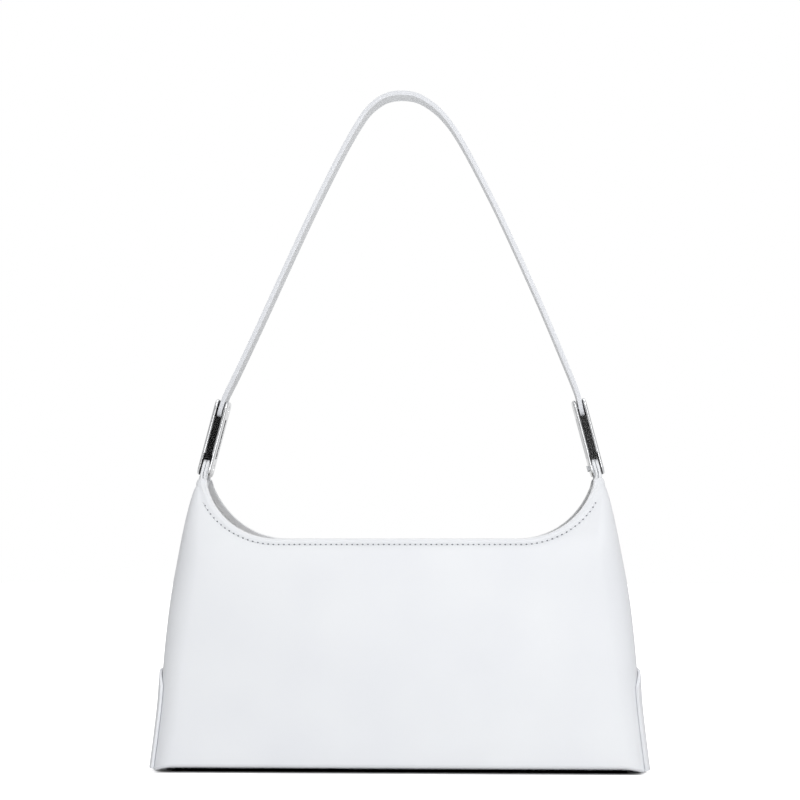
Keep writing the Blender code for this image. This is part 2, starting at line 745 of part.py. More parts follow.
def make_link(side, label):
    """Chrome link, slotted at both ends, with a narrow core held back between its two cheeks.

    Its origin is on the lower screw. Its local X runs through the cheeks and Z up along the link.
    """
    frame = Matrix.Translation((side * EAR_PIN_X, 0.0, EAR_PIN_HEIGHT))
    frame = frame @ Matrix.Rotation(-side * LINK_LEAN, 4, "Y")
    stand_up = Matrix.Rotation(math.pi / 2, 4, "Z") @ Matrix.Rotation(math.pi / 2, 4, "X")
    mesh = mesh_from_curve("link_" + label, link_plate("link_" + label), stand_up)
    link = bpy.data.objects.new("link_" + label, mesh)
    link.matrix_world = frame
    finish_piece(link, chrome)
    reach = LINK_DEPTH / 2 + OVERRUN
    core_foot = math.hypot(TAB_HALF_WIDTH, TAB_TIP_RISE) - TAB_CORNER * (math.sqrt(2) - 1) + CORE_CLEARANCE
    core_head = LINK_PITCH - STRAP_END_RADIUS - CORE_CLEARANCE
    foot = -LINK_END - OVERRUN
    head = LINK_PITCH + LINK_END + OVERRUN
    core_face = LINK_DEPTH / 2 - GROOVE_DEPTH
    recess_low = (core_foot + core_head - PANEL_RECESS_LENGTH) / 2
    recess_high = recess_low + PANEL_RECESS_LENGTH
    recess_half = PANEL_RECESS_WIDTH / 2
    boxes = {
        "ear_slot": ((-EAR_SLOT / 2, -reach, foot), (EAR_SLOT / 2, reach, core_foot)),
        "strap_slot": ((-STRAP_SLOT / 2, -reach, core_head), (STRAP_SLOT / 2, reach, head)),
        "groove_front": (
            (-GROOVE_WIDTH / 2, -reach, core_foot - GAP),
            (GROOVE_WIDTH / 2, -core_face, core_head + GAP),
        ),
        "groove_back": (
            (-GROOVE_WIDTH / 2, core_face, core_foot - GAP),
            (GROOVE_WIDTH / 2, reach, core_head + GAP),
        ),
        "recess_outer": (
            (LINK_THICK / 2 - PANEL_RECESS_DEPTH, -recess_half, recess_low),
            (LINK_THICK / 2 + OVERRUN, recess_half, recess_high),
        ),
        "recess_inner": (
            (-LINK_THICK / 2 - OVERRUN, -recess_half, recess_low),
            (-LINK_THICK / 2 + PANEL_RECESS_DEPTH, recess_half, recess_high),
        ),
    }
    for name, (low, high) in boxes.items():
        add_cut(link, box_cutter(name + "_" + label, low, high, frame))
    for name, along in (("ear", 0.0), ("strap", LINK_PITCH)):
        make_screw(link, side, label, name, frame @ Matrix.Translation((0.0, 0.0, along)))


def make_screw(link, side, label, name, centre):
    """Pivot screw with a slotted head let into the cheek that faces the middle of the bag."""
    across = centre @ Matrix.Rotation(-side * math.pi / 2, 4, "Y")
    hole = cylinder_object(
        name + "_bore_" + label, SCREW_RADIUS + GAP, LINK_THICK + OVERRUN, across
    )
    add_cut(link, keep_cutter(hole))
    seat_depth = SCREW_HEAD_THICK + GAP
    seat_centre = LINK_THICK / 2 - seat_depth + (seat_depth + OVERRUN) / 2
    seat = cylinder_object(
        name + "_seat_" + label,
        SCREW_HEAD_RADIUS + GAP,
        seat_depth + OVERRUN,
        across @ Matrix.Translation((0.0, 0.0, seat_centre)),
    )
    add_cut(link, keep_cutter(seat))
    top = LINK_THICK / 2
    shoulder = top - SCREW_HEAD_THICK
    profile = [
        (0.0, top),
        (SCREW_HEAD_RADIUS, top),
        (SCREW_HEAD_RADIUS, shoulder),
        (SCREW_RADIUS, shoulder),
        (SCREW_RADIUS, -top),
        (0.0, -top),
    ]
    screw = turned_object(name + "_screw_" + label, profile, SCREW_SIDES)
    screw.matrix_world = across
    carry(link, finish_piece(screw, chrome))
    slot = box_cutter(
        name + "_driver_slot_" + label,
        (-SCREW_SLOT_WIDTH / 2, -SCREW_HEAD_RADIUS - OVERRUN, top - SCREW_SLOT_DEPTH),
        (SCREW_SLOT_WIDTH / 2, SCREW_HEAD_RADIUS + OVERRUN, top + OVERRUN),
        across,
    )
    add_cut(screw, slot)


def strap_route():
    """(x, z, distance from the nearer end) along the strap's middle line, left end to right end."""
    span = STRAP_PIN_X
    down = [
        Vector((a * span, STRAP_PIN_HEIGHT + b * STRAP_RISE))
        for a, b in zip(STRAP_SPAN_SHARES, STRAP_RISE_SHARES)
    ]
    lean = Vector((math.sin(LINK_LEAN), -math.cos(LINK_LEAN)))
    straight_top = down[-1] - lean * STRAP_STRAIGHT
    knots = down[:-1] + [straight_top]
    ahead = straight_top + lean * STRAP_STRAIGHT
    before = Vector((-knots[1].x, knots[1].y))
    chain = [before] + knots + [ahead]
    right = []
    for i in range(1, len(chain) - 2):
        p0, p1, p2, p3 = chain[i - 1 : i + 3]
        for k in range(PATH_STEPS):
            t = k / PATH_STEPS
            right.append(
                0.5
                * (
                    2 * p1
                    + (p2 - p0) * t
                    + (2 * p0 - 5 * p1 + 4 * p2 - p3) * t * t
                    + (3 * p1 - p0 - 3 * p2 + p3) * t**3
                )
            )
    right.append(straight_top)
    return right, down[-1], lean


def strap_columns(offset):
    """Two edges of one strap ply, at an offset outward from the strap's middle line."""
    right, pin, lean = strap_route()
    end_turns = [math.radians(a) for a in STRAP_TIP_ANGLES]
    tail = [pin + lean * STRAP_END_RADIUS * math.sin(a) for a in end_turns]
    tail_widths = [STRAP_END_RADIUS * math.cos(a) for a in end_turns]
    line = right + tail
    count = len(right)
    widths = []
    for i, point in enumerate(right):
        share = min((point - pin).length / STRAP_TAPER, 1.0)
        blend = share * share * (3 - 2 * share)
        widths.append(STRAP_END_RADIUS + (STRAP_HALF_WIDTH - STRAP_END_RADIUS) * blend)
    widths += tail_widths
    placed = []
    for i, point in enumerate(line):
        if i == 0:
            along = Vector((1.0, 0.0))
        elif i >= count - 1:
            along = lean
        else:
            along = (line[i + 1] - line[i - 1]).normalized()
        normal = Vector((-along.y, along.x))
        place = point + normal * offset
        placed.append((place.x, place.y, widths[i]))
    whole = [(-x, z, w) for x, z, w in reversed(placed[1:])] + placed
    front = [Vector((x, -w, z)) for x, z, w in whole]
    back = [Vector((x, w, z)) for x, z, w in whole]
    return [front, back]


def make_strap():
    """Two plies of one band, pinned in the links' upper slots, on an empty at the upper screw."""
    pivot = bpy.data.objects.new("strap_pivot", None)
    parts.objects.link(pivot)
    pivot.matrix_world = Matrix.Translation((-STRAP_PIN_X, 0.0, STRAP_PIN_HEIGHT))
    outer = sheet_object("strap_outer", list(reversed(strap_columns(GAP / 2))))
    inner = sheet_object("strap_lining", strap_columns(-GAP / 2))
    for ply in (outer, inner):
        carry(pivot, finish_piece(add_thickness(ply, STRAP_PLY_THICK, offset=1.0), leather))
    for side, label in SIDES:
        hole = cylinder_object(
            "strap_hole_" + label,
            SCREW_RADIUS + LEATHER_HOLE_CLEARANCE,
            STRAP_SLOT + OVERRUN,
            pin_frame(side, STRAP_PIN_X, STRAP_PIN_HEIGHT),
        )
        keep_cutter(hole)
        add_cut(outer, hole)
        add_cut(inner, hole)


SIDES = ((-1, "left"), (1, "right"))

clear_scene()
parts = new_collection("shoulder_bag")
cutters = new_collection("cutters")
leather = new_material("smooth white leather", (0.80, 0.82, 0.84), 0.35)
board_stuff = new_material("fibre board", (0.45, 0.40, 0.33), 0.8)
cloth = new_material("lining cloth", (0.72, 0.70, 0.66), 0.85)
chrome = new_material("polished chrome", (0.78, 0.79, 0.80), 0.06, 1.0)

make_panels()
make_facings()
for bag_side, bag_label in SIDES:
    make_gusset(bag_side, bag_label)
    make_patch(bag_side, bag_label)
    make_link(bag_side, bag_label)
make_base()
make_lining()
make_pocket()
make_snap()
make_strap()
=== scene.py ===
# %% [markdown]
# # A small white shoulder bag with chrome links
#
# The bag is a stack of leather sheets: walls, facings, ears and patches, with a cloth sack inside. One strap hangs
# from two slotted chrome links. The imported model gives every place, and this file gives the looks: thin sheets
# with painted edges, thread, grain and polish.

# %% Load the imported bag
import math

import bpy
from mathutils import Matrix, Vector, noise


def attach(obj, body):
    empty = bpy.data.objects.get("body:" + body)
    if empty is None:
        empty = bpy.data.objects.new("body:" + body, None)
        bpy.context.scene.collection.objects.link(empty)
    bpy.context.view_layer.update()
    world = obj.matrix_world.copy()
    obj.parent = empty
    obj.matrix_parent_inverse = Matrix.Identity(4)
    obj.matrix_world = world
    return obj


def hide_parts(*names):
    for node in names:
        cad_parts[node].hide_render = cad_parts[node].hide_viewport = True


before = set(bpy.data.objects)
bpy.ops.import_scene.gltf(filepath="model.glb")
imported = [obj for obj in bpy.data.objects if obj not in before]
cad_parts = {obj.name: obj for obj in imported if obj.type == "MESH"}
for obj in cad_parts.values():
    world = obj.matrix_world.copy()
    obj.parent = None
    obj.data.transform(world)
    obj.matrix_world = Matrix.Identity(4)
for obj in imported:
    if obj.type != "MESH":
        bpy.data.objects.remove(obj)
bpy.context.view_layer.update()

# %% [markdown]
# The camera stands a metre away, as high as the bag's rim and a little to the right of the middle. It looks level, so
# upright lines stay upright, and its shift lifts the frame to the strap.

# %% Camera
MM = 0.001
EYE_DISTANCE = 1.05
EYE_HEIGHT = 0.1294
EYE_TURN = math.radians(2.34)
FRAME_WIDTH = 0.4528
EYE_ROW = 536.8
EYE_COLUMN = 400.4
PICTURE = 800

eye = bpy.data.cameras.new("eye")
eye.sensor_width = 36.0
eye.lens = eye.sensor_width * EYE_DISTANCE / FRAME_WIDTH
eye.shift_x = (PICTURE / 2 - EYE_COLUMN) / PICTURE
eye.shift_y = (EYE_ROW - PICTURE / 2) / PICTURE
camera = bpy.data.objects.new("eye", eye)
bpy.context.scene.collection.objects.link(camera)
camera.location = (EYE_DISTANCE * math.sin(EYE_TURN), -EYE_DISTANCE * math.cos(EYE_TURN), EYE_HEIGHT)
camera.rotation_euler = (math.pi / 2, 0.0, EYE_TURN)
bpy.context.scene.camera = camera
print("lens %.1f mm, shift %.3f" % (eye.lens, eye.shift_y))

# %% [markdown]
# Every finish is a node material. Its colours are written as sRGB hex, as a paint chart gives them, and one function
# turns them into the linear values that a shader wants. A second one adds a node with its settings and links.

# %% Helpers for finishes
def hex_color(code):
    """Linear RGBA of an sRGB hex colour."""
    values = [int(code[i : i + 2], 16) / 255 for i in (1, 3, 5)]
    linear = [v / 12.92 if v <= 0.04045 else ((v + 0.055) / 1.055) ** 2.4 for v in values]
    return (linear[0], linear[1], linear[2], 1.0)


def add_node(tree, kind, settings=None, links=None):
    """One node with its properties or socket values set, and its inputs linked to other nodes' outputs."""
    node = tree.nodes.new(kind)
    for key, value in (settings or {}).items():
        if isinstance(key, str) and hasattr(node, key):
            setattr(node, key, value)
        else:
            node.inputs[key].default_value = value
    for key, source in (links or {}).items():
        tree.links.new(source, node.inputs[key])
    return node


def new_finish(name, settings):
    """A material with its shader's sockets set. Gives the material, its tree and the shader."""
    finish = bpy.data.materials.new(name)
    finish.use_nodes = True
    shader = finish.node_tree.nodes["Principled BSDF"]
    for socket, value in settings.items():
        shader.inputs[socket].default_value = value
    return finish, finish.node_tree, shader


def object_place(tree):
    return add_node(tree, "ShaderNodeTexCoord").outputs["Object"]


def noise_of(size, tree, place, **settings):
    """A noise whose features have about the given size. Gives its output."""
    return add_node(tree, "ShaderNodeTexNoise", {"Scale": 1 / size, **settings}, {"Vector": place}).outputs["Fac"]


def toned(tree, factor, low, high, ends=(0.0, 1.0)):
    """A colour that goes from one hex colour to another with a factor."""
    ramp = add_node(tree, "ShaderNodeValToRGB", {}, {"Fac": factor})
    for stop, end, code in zip(ramp.color_ramp.elements, ends, (low, high)):
        stop.position = end
        stop.color = hex_color(code)
    return ramp.outputs["Color"]


def bumped(tree, height, strength, distance, under=None):
    """A bump, on top of another one if that is given."""
    links = {"Height": height} if under is None else {"Height": height, "Normal": under}
    return add_node(tree, "ShaderNodeBump", {"Strength": strength, "Distance": distance}, links).outputs["Normal"]


def math_of(tree, operation, *terms):
    """A math node on numbers and other nodes' outputs. Gives its output."""
    numbers = {i: term for i, term in enumerate(terms) if isinstance(term, float)}
    linked = {i: term for i, term in enumerate(terms) if i not in numbers}
    return add_node(tree, "ShaderNodeMath", {"operation": operation, **numbers}, linked).outputs["Value"]


def ranged(tree, value, to_min, to_max, from_min=0.0, from_max=1.0, smooth=False):
    """A value mapped from one range to another. The new one may begin at another node's output."""
    settings = {"From Min": from_min, "From Max": from_max, "To Max": to_max}
    links = {"Value": value}
    (settings if isinstance(to_min, float) else links)["To Min"] = to_min
    if smooth:
        settings["interpolation_type"] = "SMOOTHSTEP"
    return add_node(tree, "ShaderNodeMapRange", settings, links).outputs["Result"]


def wire(tree, shader, **sources):
    """Link outputs to the shader's sockets: color, normal and roughness."""
    sockets = {"color": "Base Color", "normal": "Normal", "roughness": "Roughness"}
    for key, source in sources.items():
        tree.links.new(source, shader.inputs[sockets[key]])


# %% [markdown]
# **Smooth white calf.** Calf leather for such bags is buffed, sprayed white and rolled with a hot plate. The eye gets
# a clean, slightly cool white, a soft broad shine, and only close up the pores and creases of the skin. The pores are
# a fine Voronoi pattern with cells of about 0.6 mm. A slow noise of about 45 mm makes the shine wander a little, as it
# does over leather that is glued on stiff board.

# %% Leather
def white_leather(name, color, shade, pore_depth, roughness):
    leather, tree, shader = new_finish(
        name, {"Specular IOR Level": 0.45, "Coat Weight": 0.12, "Coat Roughness": 0.22, "IOR": 1.46}
    )
    place = object_place(tree)
    pores = add_node(tree, "ShaderNodeTexVoronoi", {"Scale": 1 / (0.6 * MM), "Randomness": 0.9}, {"Vector": place})
    creases = noise_of(2.2 * MM, tree, place, Detail=4.0, Distortion=0.6)
    waves = noise_of(45 * MM, tree, place, Detail=1.0)
    shine = ranged(tree, creases, roughness - 0.04, roughness + 0.05, 0.3, 0.7)
    slow = bumped(tree, waves, 1.0, 0.25 * MM)
    soft = bumped(tree, creases, 0.6, 2 * pore_depth, slow)
    fine = bumped(tree, pores.outputs["Distance"], 0.8, pore_depth, soft)
    tone = toned(tree, waves, shade, color, (0.3, 0.7))
    wire(tree, shader, color=tone, roughness=shine, normal=fine)
    return leather


calf = white_leather("smooth_white_calf", "#ECEEF1", "#E8EAEE", 0.004 * MM, 0.40)
# The facing's white is a little brighter than the walls': painted light for the shaded inside of the rim.
facing_calf = white_leather("white_facing_leather", "#F3F4F6", "#EFF0F3", 0.008 * MM, 0.46)
strap_calf = white_leather("burnished_strap_calf", "#ECEEF1", "#EAECEF", 0.0006 * MM, 0.42)
print("leathers:", calf.name, facing_calf.name, strap_calf.name)

# %% [markdown]
# ** Edge paint.** The cut edges are sanded, painted in two coats and heat-set. That leaves a thin, even, slightly
# rubbery bead, glossier than the leather, with a faint waviness from the roller. The strap's paint is drawn a little
# greyer: painted shade that tones down the strap's brightly lit front edge.

# %% Edge paint
def painted_edge(name, color, shade):
    paint, tree, shader = new_finish(
        name, {"Specular IOR Level": 0.5, "Roughness": 0.35, "IOR": 1.5, "Coat Weight": 0.1}
    )
    roller = noise_of(3.5 * MM, tree, object_place(tree), Detail=2.0)
    wire(tree, shader, color=toned(tree, roller, shade, color), normal=bumped(tree, roller, 0.5, 0.012 * MM))
    return paint


edge_paint = painted_edge("white_edge_paint", "#F2F3F5", "#EAECEF")
# The strap's paint is greyer than the rim's: painted shade for its brightly lit front edge.
strap_paint = painted_edge("strap_edge_paint", "#DFE1E5", "#D8DADF")
print("edges:", edge_paint.name, strap_paint.name)

# %% [markdown]
# ** Thread and needle holes.** Bonded polyester thread, about 0.55 mm thick, is twisted from three plies, which shows
# as slanted ridges about 0.5 mm apart, drawn darker in their grooves: painted shade. Each stitch ends in a needle
# hole, drawn as a flat grey patch: painted shade for the dark inside the hole.

# %% Thread
thread_stuff, tree, shader = new_finish("bonded_polyester_thread", {"Roughness": 0.5, "Sheen Weight": 0.15})
twist = add_node(
    tree,
    "ShaderNodeTexWave",
    {"wave_type": "BANDS", "bands_direction": "DIAGONAL", "Scale": 0.3 / (0.5 * MM), "Distortion": 0.4},
    {"Vector": object_place(tree)},
).outputs["Fac"]
# The ridges' colour darkens in their grooves: painted shade.
wire(tree, shader, color=toned(tree, twist, "#DCDEE2", "#F4F5F7"), normal=bumped(tree, twist, 0.8, 0.06 * MM))

# The needle holes are flat grey patches: painted shade for the dark inside a hole.
hole_stuff, tree, shader = new_finish("needle_hole_shadow", {"Roughness": 0.9, "Specular IOR Level": 0.1})
wire(tree, shader, color=toned(tree, noise_of(0.4 * MM, tree, object_place(tree)), "#6E7176", "#8C9096"))
print("thread:", thread_stuff.name, hole_stuff.name)

# %% [markdown]
# ** Polished chrome.** Zinc castings are polished, plated and buffed. The eye sees only what they mirror, broken by
# faint buffing lines. The lines run along the link and are drawn 0.3 mm apart, coarser than real ones, so that they
# can show at all. The faces in the slots and the sunk panels get a near-black metal instead: painted shade for the
# dark those hollows show.

# %% Chrome
chrome, tree, shader = new_finish("polished_chrome", {"Metallic": 1.0, "Specular IOR Level": 0.5})
place = object_place(tree)
stretch = add_node(
    tree, "ShaderNodeMapping", {"Scale": (1 / (0.3 * MM), 1 / (0.3 * MM), 1 / (12 * MM))}, {"Vector": place}
)
buffing = noise_of(1.0, tree, stretch.outputs["Vector"], Detail=3.0)
cloudy = noise_of(6 * MM, tree, place, Detail=2.0)
shine = ranged(tree, buffing, 0.05, 0.08)
lines = bumped(tree, buffing, 0.1, 0.001 * MM)
wire(tree, shader, color=toned(tree, cloudy, "#DADBDD", "#EDEEEF"), roughness=shine, normal=lines)

# The slots and sunk panels get a near-black metal: painted shade for the dark of those hollows, not a real finish.
slot_shade_metal, tree, shader = new_finish("slot_painted_shade", {"Metallic": 1.0, "Roughness": 0.45})
slot_shade_mottle = noise_of(1.2 * MM, tree, object_place(tree), Detail=2.0)
wire(tree, shader, color=toned(tree, slot_shade_mottle, "#1C1D1F", "#2B2C2F"))
print("metal:", chrome.name, slot_shade_metal.name)

# %% [markdown]
# **Lining cloth and board.** The cloth is a plain-woven cotton blend. Its threads are 0.35 mm apart in real cloth and
# are drawn 0.7 mm apart, so that the weave shows. Warp and weft are two crossed waves that take turns being on top.
# The board is pressed fibre.

# %% Lining cloth
WEAVE = 0.7 * MM
lining_cloth, tree, shader = new_finish(
    "woven_cotton_lining", {"Roughness": 0.85, "Specular IOR Level": 0.2, "Sheen Weight": 0.25}
)
place = object_place(tree)
warp, weft = [
    add_node(
        tree,
        "ShaderNodeTexWave",
        {"bands_direction": way, "Scale": 0.314 / WEAVE, "Distortion": 0.3},
        {"Vector": place},
    ).outputs["Fac"]
    for way in ("X", "Z")
]
over = math_of(tree, "MAXIMUM", warp, weft)
slub = noise_of(8 * MM, tree, place, Detail=3.0)
wire(tree, shader, color=toned(tree, slub, "#E2DFD8", "#ECEAE4"), normal=bumped(tree, over, 0.6, 0.12 * MM))

fibre_board, tree, shader = new_finish("pressed_fibre_board", {"Roughness": 0.9, "Specular IOR Level": 0.2})
chips = noise_of(1.5 * MM, tree, object_place(tree), Detail=5.0)
wire(tree, shader, color=toned(tree, chips, "#8A7658", "#B39D7A"), normal=bumped(tree, chips, 0.5, 0.1 * MM))
print("inside:", lining_cloth.name, fibre_board.name)

# %% [markdown]
# Screws, snap and board already have the right shape, so their nodes stay and only get a finish.

# %% Finishes of the nodes that stay
KEPT = {"screw": chrome, "snap": chrome, "board": fibre_board}
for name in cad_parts:
    for word, finish in KEPT.items():
        if word in name:
            bpy.data.objects[name].data.materials.clear()
            bpy.data.objects[name].data.materials.append(finish)
print("kept:", [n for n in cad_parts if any(word in n for word in KEPT)])

# %% [markdown]
# The body is one surface, and every sheet lies at its own depth under it. One table gives the half width at each
# height. Another gives the half depth: the walls stand nearly upright to the rim and are pinched from there to the
# ears. The corners are roundest below the rim and tight at the ears.

# %% The body's surface
BASE_HALF_WIDTH = 136.8 * MM
BASE_HALF_DEPTH = 37.0 * MM
SHOULDER = 163.0 * MM
HEIGHT_SHARES = (0.0, 0.118, 0.237, 0.355, 0.474, 0.602, 0.72, 0.839, 0.923, 1.0)
WIDTH_SHARES = (1.0, 0.9835, 0.969, 0.961, 0.949, 0.931, 0.905, 0.877, 0.8555, 0.829)
LEVEL_SHARES = (0.0, 0.35, 0.6, 0.79, 0.9, 1.0)
DEPTH_SHARES = (1.0, 0.945, 0.89, 0.81, 0.6, 0.292)
CORNER_LEVELS = (0.0, 0.35, 0.7, 1.0)
CORNERS = (12.0 * MM, 14.5 * MM, 15.0 * MM, 2.4 * MM)
LEAST_CORNER = 0.3 * MM
FRONT_ROLL = 2.6 * MM
SIDE_ROLL = 2.5 * MM
FRONT_TURN = 8.4 * MM
SIDE_TURN = 5.0 * MM
SEAM_INSET = 1.2 * MM
BULGE = 2.5 * MM
LEAN = math.radians(14.85)


def smooth_read(places, values, place):
    """Value at a place along a table, on a smooth curve through its entries."""
    last = len(places) - 1
    if place <= places[0]:
        return values[0]
    if place >= places[last]:
        return values[last]
    i = next(k for k in range(last) if places[k + 1] >= place)
    span = places[i + 1] - places[i]
    t = (place - places[i]) / span

    def slope(k):
        low, high = max(k - 1, 0), min(k + 1, last)
        return (values[high] - values[low]) / (places[high] - places[low])

    return (
        values[i] * (2 * t**3 - 3 * t**2 + 1)
        + span * slope(i) * (t**3 - 2 * t**2 + t)
        + values[i + 1] * (3 * t**2 - 2 * t**3)
        + span * slope(i + 1) * (t**3 - t**2)
    )


def half_width(z):
    if z > SHOULDER:
        return BASE_HALF_WIDTH * WIDTH_SHARES[-1] - (z - SHOULDER) * math.tan(LEAN)
    return BASE_HALF_WIDTH * smooth_read(HEIGHT_SHARES, WIDTH_SHARES, z / SHOULDER)


def half_depth(z):
    return BASE_HALF_DEPTH * smooth_read(LEVEL_SHARES, DEPTH_SHARES, z / SHOULDER)


def corner_radius(z):
    return smooth_read(CORNER_LEVELS, CORNERS, z / SHOULDER)


def slant(reach, z):
    """How much longer a level line through a leaning sheet is than the sheet's thickness."""
    step = 0.5 * MM
    return math.hypot(1.0, (reach(z - step) - reach(z + step)) / (2 * step))


for level in LEVEL_SHARES:
    z = level * SHOULDER
    print("at %3.0f mm: half width %.1f, half depth %.1f mm" % (1000 * z, 1000 * half_width(z), 1000 * half_depth(z)))

# %% [markdown]
# The rim dips between the ears: level in the middle, then a quarter of an ellipse up to each ear, and a small round
# corner where it meets the ear's top. The underside is arched, so the bag stands on its two ends.

# %% Rim and underside
RIM = 128.5 * MM
SCOOP_FLAT = 67.3 * MM
SCOOP_END = 110.3 * MM
SCOOP_RISE = 43.0 * MM
EAR_ROUND = 3.0 * MM
ARCH_RISE = 2.6 * MM
ARCH_START = BASE_HALF_WIDTH - SIDE_ROLL
ARCH_RUN = 12.0 * MM
ARCH_FADE = 30.0 * MM


def scoop(x):
    share = (abs(x) - SCOOP_FLAT) / (SCOOP_END - SCOOP_FLAT)
    if share <= 0:
        return RIM
    if share >= 1:
        return RIM + SCOOP_RISE
    return RIM + SCOOP_RISE * (1 - math.sqrt(1 - share * share))


def arch(x):
    share = min(max((ARCH_START - abs(x)) / ARCH_RUN, 0.0), 1.0)
    return ARCH_RISE * (1 - (1 - share) ** 2)


def flat_x(share, z):
    """Where a share of the flat front lies at a height."""
    return share * (half_width(z) - corner_radius(z))


def column_top(share, angle=math.pi / 2):
    """Height at which a column of the front sheet ends: on the scoop, rounded off under the ear's top."""
    low, high = RIM, SHOULDER

    def out(z):
        return abs(flat_x(share, z)) + corner_radius(z) * math.cos(angle or 0.0)

    if scoop(out(high)) < high:
        for _ in range(40):
            middle = (low + high) / 2
            low, high = (middle, high) if scoop(out(middle)) > middle else (low, middle)
    else:
        low = high
    left = max(SHOULDER - low, 0.0)
    return SHOULDER - left - max(EAR_ROUND - left, 0.0) ** 2 / (4 * EAR_ROUND)


def wall_point(share, angle, z, depth=0.0, roll=0.0, turn=0.0):
    """A point of the front wall: share across the flat, then round the corner by an angle, to the seam at None."""
    inset = SEAM_INSET if angle is None else 0.0
    angle = angle or 0.0
    front = angle / (math.pi / 2)
    foot = SIDE_ROLL + front * (FRONT_ROLL - SIDE_ROLL)
    stretch = slant(half_width, z) + front * (slant(half_depth, z) - slant(half_width, z))
    sink = depth * stretch + foot * (1 - math.cos(roll)) + turn * (SIDE_TURN + front * (FRONT_TURN - SIDE_TURN))
    radius = max(corner_radius(z) - sink, LEAST_CORNER)
    inward = radius - (corner_radius(z) - sink)
    x = flat_x(share, z) - share * inward + math.copysign(radius * math.cos(angle), share)
    y = half_depth(z) - corner_radius(z) - inward + radius * math.sin(angle) - inset
    y += BULGE * (1 - share * share) * math.sin(math.pi * min(z / RIM, 1.0))
    lift = arch(x) * min(max(1 - (z - foot) / ARCH_FADE, 0.0), 1.0)
    return Vector((x, -y, (foot * (1 - math.sin(roll)) if roll else z) + lift))


print("rim at the middle %.1f mm, at 100 mm out %.1f mm" % (1000 * scoop(0), 1000 * scoop(0.1)))

# %% [markdown]
# **Columns of the front sheet.** Where the rim climbs to the ears it is long, so the columns are spread evenly along
# the rim, not along the width. Fourteen more columns go round each corner and one more stands at the side seam.

# %% Columns
RIM_COLUMNS = 72
CORNER_COLUMNS = 14


def even_shares():
    """Shares from the middle to the corner, spread evenly along the rim."""
    fine = [i / 2000 for i in range(2001)]
    places = [(flat_x(s, column_top(s)), column_top(s)) for s in fine]
    length = [0.0]
    for a, b in zip(places, places[1:]):
        length.append(length[-1] + math.hypot(b[0] - a[0], b[1] - a[1]))
    shares, k = [], 0
    for i in range(RIM_COLUMNS + 1):
        goal = length[-1] * i / RIM_COLUMNS
        while k < 2000 and length[k] < goal:
            k += 1
        shares.append(fine[k])
    return shares


right_half = even_shares()
arc = [math.pi / 2 * (1 - i / CORNER_COLUMNS) for i in range(1, CORNER_COLUMNS + 1)] + [None]
COLUMNS = [(-1.0, a) for a in reversed(arc)] + [(-s, math.pi / 2) for s in reversed(right_half)]
COLUMNS += [(s, math.pi / 2) for s in right_half[1:]] + [(1.0, a) for a in arc]


RIM_LINE = [wall_point(s, a, column_top(s, a)) for s, a in COLUMNS]
print("columns:", len(COLUMNS), "rim from end to end %.0f mm" % (
    1000 * sum((b - a).length for a, b in zip(RIM_LINE, RIM_LINE[1:]))))

# %% [markdown]
# **Sheets.** A sheet starts as Blender's grid. Each of its points is moved to the column and row it stands for,
# Solidify gives the thickness towards the inside, and Bevel rounds the cut edges as paint does. Deselecting first
# matters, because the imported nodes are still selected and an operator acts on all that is.

# %% Helpers for sheets
SMOOTH = math.radians(42)


def deselect():
    bpy.ops.object.select_all(action="DESELECT")


def alone(piece):
    deselect()
    piece.select_set(True)
    bpy.context.view_layer.objects.active = piece


def apply_all(piece):
    alone(piece)
    for modifier in list(piece.modifiers):
        bpy.ops.object.modifier_apply(modifier=modifier.name)


def dressed(piece, name, finish, body, slot, *nodes):
    """Name a finished piece, give it its finish, and tie it to its body and the nodes it stands for. The slot is not
    used.
    """
    piece.name = name
    piece.data.name = name
    piece.data.materials.clear()
    piece.data.materials.append(finish)
    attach(piece, body)
    if nodes:
        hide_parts(*nodes)
    print("%-22s %6d faces" % (name, len(piece.data.polygons)))
    return piece


def grid_sheet(columns):
    """A grid whose points are moved to the given columns of points."""
    across, up = len(columns), len(columns[0])
    deselect()
    bpy.ops.mesh.primitive_grid_add(x_subdivisions=across - 1, y_subdivisions=up - 1, size=1.0)
    piece = bpy.context.object
    for vertex in piece.data.vertices:
        i = round((vertex.co.x + 0.5) * (across - 1))
        j = round((vertex.co.y + 0.5) * (up - 1))
        vertex.co = columns[i][j]
    return piece


def round_edges(piece, width, segments, degrees):
    rounded = piece.modifiers.new("edges", "BEVEL")
    rounded.width = width
    rounded.segments = segments
    rounded.limit_method = "ANGLE"
    rounded.angle_limit = math.radians(degrees)
    apply_all(piece)


def thicken(piece, thick, edge, segments=3):
    """Thickness inward, then rounded cut edges, both applied."""
    solid = piece.modifiers.new("thickness", "SOLIDIFY")
    solid.thickness = thick
    solid.offset = -1.0
    solid.use_even_offset = True
    round_edges(piece, edge, segments, 50)
    bpy.ops.object.shade_smooth_by_angle(angle=SMOOTH)
    return piece


def behind(p):
    return Vector((p.x, -p.y, p.z))


def turned_round(columns):
    """The same columns on the back of the bag."""
    return [[behind(p) for p in column] for column in reversed(columns)]


def cut_away(piece, cutter):
    cut = piece.modifiers.new("cut", "BOOLEAN")
    cut.operation = "DIFFERENCE"
    cut.solver = "EXACT"
    cut.object = cutter
    apply_all(piece)
    bpy.data.objects.remove(cutter, do_unlink=True)
    deselect()


# %% [markdown]
# **The walls.** Board-stiffened calf, 1.5 mm thick, one sheet each for front and back. Each is turned in under the
# foot, rolled round it and runs up to the rim. The thread pulls the leather in along its line, 3 to 5 mm below the
# edge, which leaves a shallow valley there and lets the strip between thread and edge swell a little. Rows are close
# near the rim, so that both can show.

